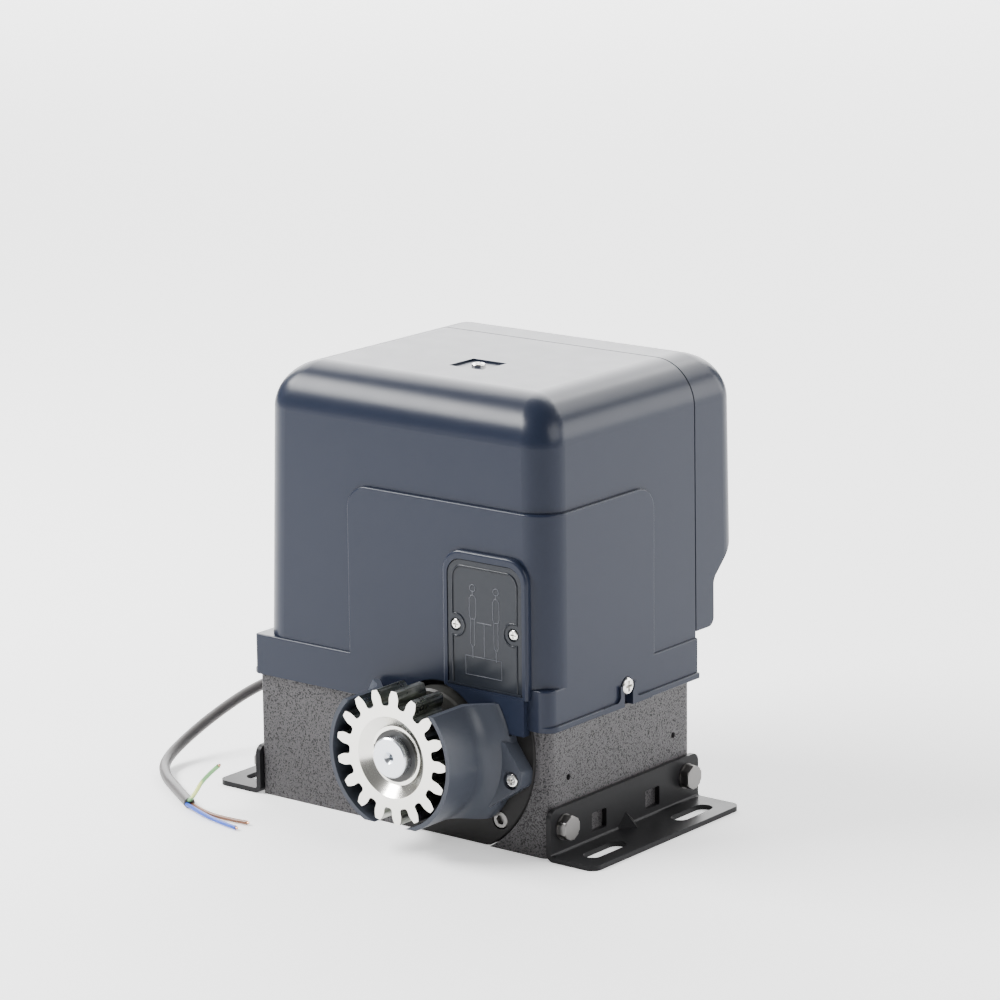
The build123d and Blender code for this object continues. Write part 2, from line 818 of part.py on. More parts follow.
post_x = 7.0
post_y = -2.5
with BuildPart() as end_cap:
    with BuildSketch(Plane.XY.offset(housing_top_z)):
        with Locations((motor_x, motor_y)):
            Circle(motor_r)
    extrude(amount=10)
    with BuildSketch(Plane.XY.offset(housing_top_z + 10)):
        with Locations((motor_x, motor_y)):
            Circle(24)
    extrude(amount=cap_top_z - housing_top_z - 10)
    fillet(end_cap.faces().sort_by(Axis.Z)[-1].edges(), 3)
    with BuildSketch(Plane.XY.offset(housing_top_z + 10)):
        with Locations((post_x, post_y)):
            Circle(7)
    extrude(amount=cap_top_z - housing_top_z - 10)
    with BuildSketch(Plane.XY.offset(housing_top_z - 1)):
        with Locations((motor_x, motor_y)):
            Circle(10)
    extrude(amount=10, mode=Mode.SUBTRACT)
    with BuildSketch(Plane.XY.offset(205)):
        with Locations((motor_x, motor_y)):
            Circle(17.5)
    extrude(amount=11, mode=Mode.SUBTRACT)
    with BuildSketch(Plane.XY.offset(housing_top_z - 1)):
        with Locations((motor_x, motor_y)):
            Circle(12.5)
    extrude(amount=4, mode=Mode.SUBTRACT)
    with BuildSketch(Plane.XY.offset(housing_top_z - 1)):
        with Locations((motor_x, motor_y)):
            Circle(17.5)
    extrude(amount=4, mode=Mode.SUBTRACT)
    with BuildSketch(Plane.XY.offset(216)):
        with Locations((motor_x, motor_y)):
            Circle(9)
    extrude(amount=2, mode=Mode.SUBTRACT)
    with BuildSketch(Plane.XY.offset(cap_top_z)):
        with Locations((post_x, post_y)):
            Circle(2.5)
    extrude(amount=-12, mode=Mode.SUBTRACT)
    with BuildSketch(Plane.XY.offset(housing_top_z - 1)):
        with Locations((motor_x, motor_y)):
            with PolarLocations(motor_screw_ring, 4, start_angle=45):
                Circle(2.2)
    extrude(amount=12, mode=Mode.SUBTRACT)
keep(end_cap.part, "motor_end_cap")

motor_screw = cap_screw(3.4, 4.0, 1.95, 98, 1.5)
motor_screw_planes = []
for angle in corner_screw_angles:
    motor_screw_planes.append(
        Plane(
            origin=(
                motor_x + motor_screw_ring * cos(radians(angle)),
                motor_y + motor_screw_ring * sin(radians(angle)),
                housing_top_z + 10,
            )
        )
    )
keep(placed(motor_screw, motor_screw_planes), "motor_screws")

with BuildPart() as post:
    with BuildSketch(Plane.XY.offset(cap_top_z)):
        with Locations((post_x, post_y)):
            RegularPolygon(5, 6, major_radius=False)
    extrude(amount=249.2 - cap_top_z)
    with BuildSketch(Plane.XY.offset(cap_top_z)):
        with Locations((post_x, post_y)):
            Circle(2.45)
    extrude(amount=-10)
    with BuildSketch(Plane.XY.offset(249.2)):
        with Locations((post_x, post_y)):
            Circle(2.0)
    extrude(amount=-14, mode=Mode.SUBTRACT)
keep(post.part, "cover_post")

# --- covers ---------------------------------------------------------------------------
panel_left_x = -35.0
panel_top_z = 192.5
panel_back_y = 29.0
panel_corner_r = 14.0
edge_r = 0.9
skirt_corner_r = 7.0
rim_front_y = -72.2
rim_x = (34.8, 93.1)
rim_z = (89.5, 167.3)
rim_corner_r = 13.0
rim_width = 3.4
rim_top_ratio = 1.35
limit_gap = 0.35
limit_face_y = -71.7
limit_back_y = -69.3
limit_screws = [(43.8, 125.2), (83.5, 125.1)]
arch_r = 33.9
tab_x = (38.0, 90.8)
tab_z = (69.0, 89.5)
tab_front_y = -72.4
pocket_x = (-5.2, 18.6)
pocket_y = (-13.7, 8.5)
pocket_depth = 1.2
board_window_x = 92.0
board_window_z = (112.0, 242.0)
sensor_x = (48.0, 80.0)
sensor_z = (131.0, 157.0)
bead_height = 3.5
bead_proud = 1.5
boss_half_width = 7.4
boss_height = 12.4
screw_slot_r = 3.8
rear_step_z = 99.0
rear_lower_y = 88.0
rear_slope_z = (126.0, 153.0)


def leaning(near, far, low_z, high_z, near_draft, far_draft, inset):
    """Four (across, z) corners of a form whose two sides lean inwards by their drafts."""
    near_shift = (high_z - low_z) * tan(radians(near_draft))
    far_shift = (high_z - low_z) * tan(radians(far_draft))
    return [
        (near + inset, low_z),
        (far - inset, low_z),
        (far - inset - far_shift, high_z),
        (near + inset + near_shift, high_z),
    ]


def shroud(inset):
    """The drafted, round-topped form that both covers share, inset for its inside."""
    low_z = base_shoulder_z - 10
    high_z = shroud_top_z - inset
    across = leaning(shroud_left_x, shroud_right_x, low_z, high_z, left_draft, shroud_draft, inset)
    along = leaning(shroud_front_y, shroud_back_y, low_z, high_z, shroud_draft, back_draft, inset)
    with BuildPart() as body:
        with BuildSketch(front(150)):
            Polygon(*across, align=None)
        extrude(amount=300)
        with BuildSketch(side(-150)):
            Polygon(*along, align=None)
        extrude(amount=300, mode=Mode.INTERSECT)
        fillet([e for e in body.edges() if abs(e.tangent_at(0).Z) > 0.9], shroud_corner_r - inset)
        fillet(body.faces().sort_by(Axis.Z)[-1].edges(), shroud_top_r - inset)
    return body.part


def rear_profile(inset):
    """What the rear cover keeps of the shroud: its stepped and sloping underside from the side."""
    low_y = rear_lower_y - inset
    with BuildPart() as body:
        with BuildSketch(side(-150, 0, 0, 1)):
            with BuildLine():
                Polyline(
                    (0, rear_step_z + inset),
                    (low_y, rear_step_z + inset),
                    (low_y, rear_slope_z[0] + inset * 0.4),
                    (shroud_back_y - inset, rear_slope_z[1] + inset * 0.4),
                    (shroud_back_y + 20, rear_slope_z[1] + inset * 0.4),
                    (shroud_back_y + 20, 300),
                    (0, 300),
                    close=True,
                )
            make_face()
        extrude(amount=300)
        step = [e for e in body.edges().filter_by(Axis.X) if abs(e.center().Y - low_y) < 0.1]
        fillet([e for e in step if e.center().Z < 120], 5 - inset)
        step = [e for e in body.edges().filter_by(Axis.X) if abs(e.center().Y - low_y) < 0.1]
        fillet([e for e in step if e.center().Z > 120], 8)
        far = [e for e in body.edges().filter_by(Axis.X) if abs(e.center().Y - shroud_back_y + inset) < 1]
        fillet(far, 12)
    return body.part


def is_tangent_seam(edge):
    """True for the two upright edges where the panel's round corner starts and ends."""
    middle = edge.center()
    starts = abs(middle.X - (skirt_half_x - shroud_corner_r)) < 0.01
    ends = abs(middle.Y - (skirt_front_y + shroud_corner_r)) < 0.01
    return starts or ends


def panel_form():
    """The raised panel that wraps the front right corner of the main cover."""
    low_z = skirt_top_z - 6
    with BuildPart() as body:
        with BuildSketch(Plane.XY.offset(low_z)):
            with BuildLine():
                Polyline(
                    (panel_left_x, 0),
                    (panel_left_x, skirt_front_y),
                    (skirt_half_x, skirt_front_y),
                    (skirt_half_x, panel_back_y),
                    (0, panel_back_y),
                    (0, 0),
                    close=True,
                )
            make_face()
        extrude(amount=panel_top_z - low_z)
        upright = body.edges().filter_by(Axis.Z)
        fillet([e for e in upright if e.center().X > 100 and e.center().Y < -60], shroud_corner_r)
        top_left = [e for e in body.edges().filter_by(Axis.Y) if e.center().Z > 190 and e.center().X < -30]
        top_back = [e for e in body.edges().filter_by(Axis.X) if e.center().Z > 190 and e.center().Y > 25]
        fillet(top_left + top_back, panel_corner_r)
        outline = [
            e
            for e in body.edges()
            if e.center().Z > low_z + 1
            and (e.center().Y < skirt_front_y + 5 or e.center().X > skirt_half_x - 5)
            and not (e.geom_type == GeomType.LINE and abs(e.tangent_at(0).Z) > 0.9 and is_tangent_seam(e))
        ]
        fillet(outline, edge_r)
    return body.part


def rim_outline(inset, low_z):
    """The arched outline of the limit cover's frame, inset from its outside, more so at the top."""
    left = rim_x[0] + inset
    right = rim_x[1] - inset
    high = rim_z[1] - inset * rim_top_ratio
    corner = rim_corner_r - inset
    with BuildSketch() as outline:
        with BuildLine():
            Polyline((left, high - corner), (left, low_z), (right, low_z), (right, high - corner))
            RadiusArc((right, high - corner), (right - corner, high), -corner)
            Line((right - corner, high), (left + corner, high))
            RadiusArc((left + corner, high), (left, high - corner), -corner)
        make_face()
    return outline.sketch


def rim_block(inset, low_z, back_y, front_y):
    """The frame's outline as a block between two depths."""
    outline = rim_outline(inset, low_z)
    with BuildPart() as body:
        extrude(front(back_y) * outline, amount=back_y - front_y)
    return body.part


outer_form = shroud(0)
inner_form = shroud(cover_wall)
panel = panel_form()
with BuildPart() as limit_frame:
    add(rim_block(0, rim_z[0], skirt_front_y + 1, rim_front_y))
    front_face = limit_frame.faces().sort_by(Axis.Y)[0]
    fillet([e for e in front_face.edges() if e.center().Z > rim_z[0] + 0.1], 1.5)
limit_recess = rim_block(rim_width, rim_z[0] + 1.6, limit_back_y + 0.05, rim_front_y - 5)
rim_room = rounded_box(
    -rim_half_x - 0.6,
    rim_half_x + 0.6,
    -rim_half_y - 0.6,
    seam_y,
    base_shoulder_z - 10,
    base_rim_z + 0.6,
    rim_corner_radius - 0.6,
)
with BuildPart() as hollow:
    add(inner_form)
    add(rim_room)
    with BuildSketch(Plane.XY.offset(base_shoulder_z - 10)):
        with Locations((0, seam_y - cover_wall - 100)):
            Rectangle(400, 200)
    extrude(amount=200, mode=Mode.INTERSECT)

skirt_back_y = seam_y + 20
with BuildPart() as skirt:
    add(
        rounded_box(
            -skirt_half_x,
            skirt_half_x,
            skirt_front_y,
            skirt_back_y,
            base_shoulder_z - 5,
            skirt_top_z,
            skirt_corner_r,
            front_left_r,
        )
    )
    fillet(skirt.faces().sort_by(Axis.Z)[-1].edges(), edge_r)
# the bead stands out along the two sides only
bead_half_x = skirt_half_x + bead_proud
with BuildPart() as bead:
    add(
        rounded_box(
            -bead_half_x,
            bead_half_x,
            skirt_front_y + 0.3,
            skirt_back_y,
            base_shoulder_z,
            base_shoulder_z + bead_height,
            skirt_corner_r,
            front_left_r + 1,
        )
    )
    fillet(bead.faces().sort_by(Axis.Z)[-1].edges(), 0.7)
    fillet(bead.faces().sort_by(Axis.Z)[0].edges(), 0.7)

with BuildPart() as main_cover:
    add(outer_form)
    add(panel)
    add(skirt.part)
    add(bead.part)
    # the bead rises into a boss under each side screw
    for sx in (-1, 1):
        with BuildSketch(side(sx * (skirt_half_x - 3), cover_screw_y, base_shoulder_z, sx)) as rise:
            with Locations((0, bead_height / 2)):
                Rectangle(6 * boss_half_width, bead_height)
            with Locations((0, boss_height / 2)):
                Rectangle(2 * boss_half_width, boss_height)
            inner = [v for v in rise.vertices() if abs(abs(v.X) - boss_half_width) < 0.01]
            fillet([v for v in inner if abs(v.Y - bead_height) < 0.01], 3.5)
        extrude(amount=3 + bead_proud)
    with BuildSketch(Plane.XY.offset(base_shoulder_z)):
        with Locations((0, seam_y - 100)):
            Rectangle(400, 200)
    extrude(amount=200, mode=Mode.INTERSECT)
    # frame of the limit cover and the tab under it
    add(limit_frame.part)
    with BuildSketch(front(skirt_front_y + 1.7)):
        with Locations(((tab_x[0] + tab_x[1]) / 2, (tab_z[0] + tab_z[1]) / 2)):
            Rectangle(tab_x[1] - tab_x[0], tab_z[1] - tab_z[0])
    extrude(amount=skirt_front_y + 1.7 - tab_front_y)
    # hollow inside, with a wall across the back
    add(hollow.part, mode=Mode.SUBTRACT)
    with BuildSketch(back(seam_y - cover_wall - 1, 0, (board_window_z[0] + board_window_z[1]) / 2)):
        RectangleRounded(2 * board_window_x, board_window_z[1] - board_window_z[0], 10)
    extrude(amount=10, mode=Mode.SUBTRACT)
    # arch over the hub
    with BuildSketch(front(-60, shaft_x, shaft_z)):
        Circle(arch_r)
    extrude(amount=30, mode=Mode.SUBTRACT)
    # recess of the limit cover, its screw holes and the sensor's window
    add(limit_recess, mode=Mode.SUBTRACT)
    with BuildSketch(front(-60, (sensor_x[0] + sensor_x[1]) / 2, (sensor_z[0] + sensor_z[1]) / 2)):
        RectangleRounded(sensor_x[1] - sensor_x[0], sensor_z[1] - sensor_z[0], 1)
    extrude(amount=20, mode=Mode.SUBTRACT)
    for x, z in limit_screws:
        with BuildSketch(front(-60, x, z)):
            Circle(1.3)
        extrude(amount=20, mode=Mode.SUBTRACT)
    # screw recess in the top
    with BuildSketch(Plane.XY.offset(shroud_top_z - pocket_depth)):
        with Locations(((pocket_x[0] + pocket_x[1]) / 2, (pocket_y[0] + pocket_y[1]) / 2)):
            Rectangle(pocket_x[1] - pocket_x[0], pocket_y[1] - pocket_y[0])
    extrude(amount=5, mode=Mode.SUBTRACT)
    with BuildSketch(Plane.XY.offset(240)):
        with Locations((post_x, post_y)):
            Circle(2.3)
    extrude(amount=30, mode=Mode.SUBTRACT)
    # seats of the side screws, each open downwards through a slot
    for sx in (-1, 1):
        with BuildSketch(side(sx * (skirt_half_x - 1.0), cover_screw_y, cover_screw_z, sx)):
            Circle(5.4)
        extrude(amount=6, mode=Mode.SUBTRACT)
        with BuildSketch(side(sx * 90, cover_screw_y, cover_screw_z, sx)):
            Circle(screw_slot_r)
            with Locations((0, -10)):
                Rectangle(2 * screw_slot_r, 20)
        extrude(amount=20, mode=Mode.SUBTRACT)
keep(main_cover.part, "main_cover")

rear_outer = rear_profile(0)
rear_inner = rear_profile(cover_wall)
with BuildPart() as rear_hollow:
    add(inner_form)
    add(rear_inner, mode=Mode.INTERSECT)

with BuildPart() as rear_cover:
    add(outer_form)
    add(rear_outer, mode=Mode.INTERSECT)
    add(rear_hollow.part, mode=Mode.SUBTRACT)
    with BuildSketch(Plane.XY.offset(0)):
        with Locations((0, seam_y + seam_gap + 100)):
            Rectangle(400, 200)
    extrude(amount=400, mode=Mode.INTERSECT)
keep(rear_cover.part, "rear_cover")

limit_low_z = rim_z[0] + 1.6 + limit_gap
limit_plate = rim_block(rim_width + limit_gap, limit_low_z, limit_back_y, limit_face_y)

with BuildPart() as limit_cover:
    add(limit_plate)
    # sill along the lower edge
    with BuildSketch(front(limit_face_y)):
        with Locations(((rim_x[0] + rim_x[1]) / 2, limit_low_z + 0.6)):
            Rectangle(rim_x[1] - rim_x[0] - 2 * rim_width - 2 * limit_gap, 1.2)
    extrude(amount=0.8)
    for x, z in limit_screws:
        with BuildSketch(front(-60, x, z)):
            Circle(1.8)
        extrude(amount=20, mode=Mode.SUBTRACT)
        with BuildSketch(front(limit_back_y - 0.9, x, z)):
            Circle(3.7)
        extrude(amount=20, mode=Mode.SUBTRACT)
keep(limit_cover.part, "limit_cover")

limit_screw = cross_screw(3.0, 1.6, 1.25, 5)
keep(placed(limit_screw, [front(limit_back_y - 0.9, x, z) for x, z in limit_screws]), "limit_cover_screws")
cover_screw = cross_screw(4.9, 2.6, 1.95, 10)
side_planes = [side(sx * (skirt_half_x - 1.0), cover_screw_y, cover_screw_z, sx) for sx in (-1, 1)]
keep(placed(cover_screw, side_planes), "cover_side_screws")
top_screw = cross_screw(3.9, 1.8, 1.95, 12)
keep(placed(top_screw, [Plane(origin=(post_x, post_y, shroud_top_z - pocket_depth))]), "cover_top_screw")

# --- gear guard -----------------------------------------------------------------------
guard_wall = 2.5
shoulder_r = 52.8
ear_back_y = plate_front_y - 0.1
tab_clear_y = tab_front_y - 0.3

with BuildPart() as guard:
    with BuildSketch(shaft_section):
        with BuildLine():
            Polyline((guard_front_y, guard_inner_r), (guard_front_y, guard_outer_r), (-90, guard_outer_r))
            Spline(
                (-90, guard_outer_r),
                (-80.5, guard_outer_r + 3.2),
                (-76.0, guard_outer_r + 8.0),
                tangents=[(1, 0), (0.75, 0.66)],
            )
            Spline((-76.0, guard_outer_r + 8.0), (-70.5, shoulder_r), tangents=[(0.75, 0.66), (1, 0)])
            Polyline(
                (-70.5, shoulder_r),
                (ear_back_y, shoulder_r),
                (ear_back_y, shoulder_r - guard_wall),
                (-71.5, shoulder_r - guard_wall),
                (-76.0, guard_inner_r + 6.2),
                (-84.0, guard_inner_r),
                (guard_front_y, guard_inner_r),
            )
        make_face()
    revolve(axis=shaft_axis)
    # two ears for the screws
    for sign in (-1, 1):
        ear = [(60, 68), (81.2, 65.2), (92.8, 49.5), (91.5, 41), (70.3, 26.5), (60, 30)]
        with BuildSketch(front(ear_back_y)):
            with BuildLine():
                Polyline(*[(shaft_x + sign * (x - shaft_x), z) for x, z in ear], close=True)
            make_face()
        extrude(amount=ear_back_y - guard_step_y)
    tips = [
        e
        for e in guard.edges().filter_by(Axis.Y)
        if abs(e.center().X - shaft_x) > 61 and 40 < e.center().Z < 50
    ]
    fillet(tips, 4.0)
    # the ears stop at the inside of the shell
    with BuildSketch(front(ear_back_y + 1, shaft_x, shaft_z)):
        Circle(shoulder_r - guard_wall)
    extrude(amount=ear_back_y + 1 + 71.5, mode=Mode.SUBTRACT)
    with BuildSketch(shaft_section):
        with BuildLine():
            Polyline(
                (-71.5, 0),
                (-71.5, shoulder_r - guard_wall),
                (-76.0, guard_inner_r + 6.2),
                (-84.0, guard_inner_r),
                (-84.0, 0),
                close=True,
            )
        make_face()
    revolve(axis=shaft_axis, mode=Mode.SUBTRACT)
    # web behind the gear that joins the two sides under the hub
    with BuildSketch(front(ear_back_y, shaft_x, shaft_z)):
        Circle(shoulder_r - 1)
        Circle(hub_r + 0.7, mode=Mode.SUBTRACT)
    extrude(amount=2.5)
    # open above for the rack and below for dirt to fall out
    with BuildSketch(front(-60)):
        with Locations((shaft_x, guard_top_z + 50)):
            Rectangle(200, 100)
    extrude(amount=60, mode=Mode.SUBTRACT)
    with BuildSketch(front(-60)):
        with Locations((shaft_x, guard_bottom_z - 50)):
            Rectangle(200, 100)
    extrude(amount=60, mode=Mode.SUBTRACT)
    # step round the cover's tab
    with BuildSketch(front(-60)):
        with Locations((shaft_x, tab_z[0] - 1 + 50)):
            Rectangle(200, 100)
    extrude(amount=-60 - tab_clear_y, mode=Mode.SUBTRACT)
    for x, z in ear_screws:
        with BuildSketch(front(-60, x, z)):
            Circle(2.3)
        extrude(amount=30, mode=Mode.SUBTRACT)
        with BuildSketch(front(guard_step_y + 2.4, x, z)):
            Circle(5.2)
        extrude(amount=10, mode=Mode.SUBTRACT)
keep(guard.part, "gear_guard")

guard_screw = cross_screw(4.0, 2.0, 1.95, 18)
keep(placed(guard_screw, [front(guard_step_y + 2.4, x, z) for x, z in ear_screws]), "guard_screws")

# --- mounting brackets ----------------------------------------------------------------
window_y = 25.0
window_z = 12.8
bend_r = 4.5


def dart(sign):
    """The pressed stiffener in the middle of a bracket's bend: a sharp-backed pyramid."""
    upright_x = sign * (base_half_x + bracket_thick - 0.1)
    foot_z = bracket_thick - 0.1
    wall = side(upright_x, 0, 0, sign) * Polygon((-9, foot_z), (9, foot_z), (0, foot_z + 8), align=None)
    return loft([wall.face(), Vertex(upright_x + sign * 8, 0, foot_z)], ruled=True)


def bracket(sign):
    """A folded angle bracket with two slots; its upright leg lies against the base."""
    inner_x = base_half_x
    outer_x = base_half_x + bracket_reach
    stiffener = dart(sign)
    with BuildPart() as body:
        with BuildSketch(front(bracket_half_y)):
            with BuildLine():
                Polyline(
                    (sign * inner_x, bracket_height),
                    (sign * inner_x, 0),
                    (sign * outer_x, 0),
                    (sign * outer_x, bracket_thick),
                    (sign * (inner_x + bracket_thick), bracket_thick),
                    (sign * (inner_x + bracket_thick), bracket_height),
                    close=True,
                )
            make_face()
        extrude(amount=2 * bracket_half_y)
        bends = [e for e in body.edges().filter_by(Axis.Y) if e.center().Z < bracket_thick + 1]
        fillet([e for e in bends if abs(abs(e.center().X) - inner_x) < 0.01], bend_r)
        bends = [e for e in body.edges().filter_by(Axis.Y) if e.center().Z < bracket_thick + 1]
        inside = [e for e in bends if abs(abs(e.center().X) - inner_x - bracket_thick) < 0.01]
        fillet(inside, bend_r - bracket_thick)
        fillet([e for e in body.edges().filter_by(Axis.Z) if abs(abs(e.center().X) - outer_x) < 0.01], 6)
        fillet(
            [e for e in body.edges().filter_by(Axis.X) if abs(e.center().Z - bracket_height) < 0.01], 5
        )
        with BuildSketch(Plane.XY.offset(-1)):
            with Locations((sign * slot_x, slot_y), (sign * slot_x, -slot_y)):
                SlotOverall(slot_length, slot_width, rotation=90)
        extrude(amount=10, mode=Mode.SUBTRACT)
        with BuildSketch(side(sign * (inner_x - 1), 0, 0, sign)):
            with Locations((window_y, window_z), (-window_y, window_z)):
                RectangleRounded(13.5, 11, 1)
            with Locations((bolt_y, bolt_z), (-bolt_y, bolt_z)):
                Circle(4.3)
        extrude(amount=6, mode=Mode.SUBTRACT)
        add(stiffener)
    return body.part


keep(bracket(1), "right_bracket")
keep(bracket(-1), "left_bracket")
m8_hex = hex_bolt(13.0, 5.3, 3.95, 14)
bolt_planes = []
for sx in (-1, 1):
    for sy in (-1, 1):
        bolt_planes.append(side(sx * (base_half_x + bracket_thick + 0.8), sy * bolt_y, bolt_z, sx))
keep(placed(m8_hex, bolt_planes), "bracket_bolts")
washer = rod(Plane.XY, 7.2, 0.8, 4.1)
washer_planes = [plane * Plane.XY.offset(-0.8) for plane in bolt_planes]
keep(placed(washer, washer_planes), "bracket_washers")

# --- electronics ----------------------------------------------------------------------
plate_y = rim_half_y - base_wall
panel_plate = (plate_y - 2.0, plate_y)
board_y = 84.0
board_half_x = 78.0
board_z = (136.0, 236.0)
spacer_spots = [(sx * (board_half_x - 6), z) for sx in (-1, 1) for z in (board_z[0] + 6, board_z[1] - 6)]
cap_x = 66.0
cap_y = 35.0
cap_r = 20.0
cap_z = (170.0, 236.0)
xfmr_x = (42.0, 90.0)
xfmr_y = (22.0, panel_plate[0])
xfmr_z = (122.0, 160.0)

with BuildPart() as mount_plate:
    add(block((-86, panel_plate[0], 60), (86, panel_plate[1], 241)))
    with BuildSketch(back(panel_plate[0] - 1)):
        with Locations(*[(-x, z) for x, z in spacer_spots]):
            Circle(1.6)
        with Locations((plate_screw_x, plate_screw_z), (-plate_screw_x, plate_screw_z)):
            Circle(2.2)
    extrude(amount=10, mode=Mode.SUBTRACT)
    fillet(mount_plate.edges().filter_by(Axis.Y).group_by(Axis.Z)[-1], 8)
keep(mount_plate.part, "electronics_plate")
plate_screw = cross_screw(4.0, 2.0, 2.1, 6.5)
plate_screw_planes = [front(panel_plate[0], sx * plate_screw_x, plate_screw_z) for sx in (-1, 1)]
keep(placed(plate_screw, plate_screw_planes), "plate_screws")
spacer = rod(Plane.XY, 3.5, board_y - panel_plate[1], 1.5)
keep(placed(spacer, [back(panel_plate[1], x, z) for x, z in spacer_spots]), "board_spacers")

with BuildPart() as board:
    add(block((-board_half_x, board_y, board_z[0]), (board_half_x, board_y + 1.6, board_z[1])))
    with BuildSketch(back(board_y - 1)):
        with Locations(*[(-x, z) for x, z in spacer_spots]):
            Circle(1.6)
    extrude(amount=10, mode=Mode.SUBTRACT)
keep(board.part, "control_board")
board_face = board_y + 1.6
board_screw = cross_screw(2.8, 1.6, 1.45, 8)
keep(placed(board_screw, [back(board_face, x, z) for x, z in spacer_spots]), "board_screws")


def on_board(x, z, width, depth, height):
    """A block that stands on the board's outer face."""
    low = (x - width / 2, board_face, z - height / 2)
    high = (x + width / 2, board_face + depth, z + height / 2)
    return block(low, high)


relays = [on_board(x, 183, 15, 15, 19) for x in (-52, -32, -12)]
keep(Compound(children=relays), "board_relays")
with BuildPart() as terminals:
    add(on_board(0, 150, 110, 9, 11))
    for number in range(11):
        with BuildSketch(back(board_face + 9, -50 + 10 * number, 150)):
            Circle(2.4)
        extrude(amount=-3, mode=Mode.SUBTRACT)
keep(terminals.part, "terminal_block")
keep(rod(side(44, board_face + 5, 170, 1), 4.0, 24), "fuse")
caps = [rod(back(board_face, x, z), 5.0, 14) for x, z in ((16, 208), (30, 208), (16, 193))]
keep(Compound(children=caps), "board_capacitors")
keep(on_board(56, 205, 24, 3, 12), "control_chip")

with BuildPart() as core:
    add(block((xfmr_x[0], xfmr_y[0] + 4, xfmr_z[0]), (xfmr_x[1], xfmr_y[1] - 0.0, xfmr_z[1])))
    with BuildSketch(back(0, 0, (xfmr_z[0] + xfmr_z[1]) / 2)):
        with Locations((-57, 0), (-75, 0)):
            Rectangle(8, 24)
    extrude(amount=100, mode=Mode.SUBTRACT)
keep(core.part, "transformer_core")
with BuildPart() as coil:
    with BuildSketch(Plane.XY.offset((xfmr_z[0] + xfmr_z[1]) / 2 - 11.9)):
        with Locations((66, (xfmr_y[0] + 4 + xfmr_y[1]) / 2)):
            Rectangle(25.8, xfmr_y[1] - xfmr_y[0] - 4.2 + 5)
            Rectangle(10.1, xfmr_y[1] - xfmr_y[0] - 4 + 0.1, mode=Mode.SUBTRACT)
    extrude(amount=23.8)
    with BuildSketch(front(panel_plate[0] - 0.1, 66, 150)):
        Rectangle(100, 200)
    extrude(amount=60, mode=Mode.INTERSECT)
keep(coil.part, "transformer_coil")

with BuildPart() as capacitor:
    with BuildSketch(Plane.XY.offset(cap_z[0])):
        with Locations((cap_x, cap_y)):
            Circle(cap_r)
    extrude(amount=cap_z[1] - cap_z[0])
    fillet(capacitor.edges().group_by(Axis.Z)[0], 2)
    for dx in (-5, 5):
        with Locations((cap_x + dx, cap_y, cap_z[1] + 3.9)):
            Box(1, 6, 8)
keep(capacitor.part, "run_capacitor")
with BuildPart() as clip:
    with BuildSketch(Plane.XY.offset(195)):
        with Locations((cap_x, cap_y)):
            Circle(cap_r + 1.5)
            Circle(cap_r, mode=Mode.SUBTRACT)
        with Locations((cap_x, panel_plate[0] - 0.75)):
            Rectangle(20, 1.5)
    extrude(amount=14)
keep(clip.part, "capacitor_clip")

keep(
    block(
        (sensor_x[0] + 0.5, limit_back_y, sensor_z[0] + 0.5),
        (sensor_x[1] - 0.5, limit_back_y + 12, sensor_z[1] - 0.5),
    ),
    "limit_sensor",
)

# --- cable gland, cord and its bare wires ---------------------------------------------
gland_face_x = -base_half_x
with BuildPart() as gland:
    with BuildSketch(side(gland_face_x + 14, gland_y, gland_z, -1)):
        Circle(7.8)
    extrude(amount=14)
    with BuildSketch(side(gland_face_x, gland_y, gland_z, -1)):
        RegularPolygon(10, 6, major_radius=False)
    extrude(amount=5)
    with BuildSketch(side(gland_face_x - 5, gland_y, gland_z, -1)):
        Circle(8.6)
    extrude(amount=gland_face_x - 5 - gland_tip_x)
    fillet(gland.faces().sort_by(Axis.X)[0].edges(), 3.5)
    with BuildSketch(side(gland_face_x + 20, gland_y, gland_z, -1)):
        Circle(cord_dia / 2 + 0.3)
    extrude(amount=18, mode=Mode.SUBTRACT)
keep(gland.part, "cable_gland")
with BuildPart() as gland_nut:
    with BuildSketch(side(gland_face_x + base_wall + 2.6, gland_y, gland_z, -1)):
        RegularPolygon(10, 6, major_radius=False)
        Circle(7.85, mode=Mode.SUBTRACT)
    extrude(amount=-4)
keep(gland_nut.part, "gland_nut")

cord_route = [
    (gland_tip_x, gland_y, gland_z),
    (-139, gland_y, gland_z),
    (-155, 21, 43.5),
    (-169, 4, 36.5),
    (-179, -18, 25),
    (-185, -42, 12.5),
    (-181, -66, 4.8),
    (-164, -84, 3.5),
    (-141, -99, 3.3),
    (-118, -114, 3.3),
]


def turn_radii(route):
    """For each inner point, the arc radius that uses 0.45 of the shorter run beside it."""
    radii = []
    for before, here, after in zip(route, route[1:], route[2:]):
        run_in = Vector(*here) - Vector(*before)
        run_out = Vector(*after) - Vector(*here)
        half_turn = radians(run_in.get_angle(run_out)) / 2
        radii.append(0.45 * min(run_in.length, run_out.length) / tan(half_turn))
    return radii


def tube(name, route, diameter):
    """A round tube along straight runs joined by tangent arcs."""
    radii = turn_radii(route)
    with BuildPart() as body:
        with BuildLine() as path:
            FilletPolyline(*route, radius=radii)
        with BuildSketch(Plane(origin=path.line @ 0, z_dir=path.line % 0)):
            Circle(diameter / 2)
        sweep(path=path.line)
    length = sum(edge.length for edge in path.edges())
    expected = pi * diameter**2 / 4 * length
    print(name, "length", round(length, 1), "radii", [round(r, 1) for r in radii])
    print(name, "volume / (section x length)", round(body.part.volume / expected, 4))
    keep(body.part, name)
    return length


tube("power_cord", cord_route, cord_dia)
cord_end = Vector(*cord_route[-1])
cord_way = (cord_end - Vector(*cord_route[-2])).normalized()


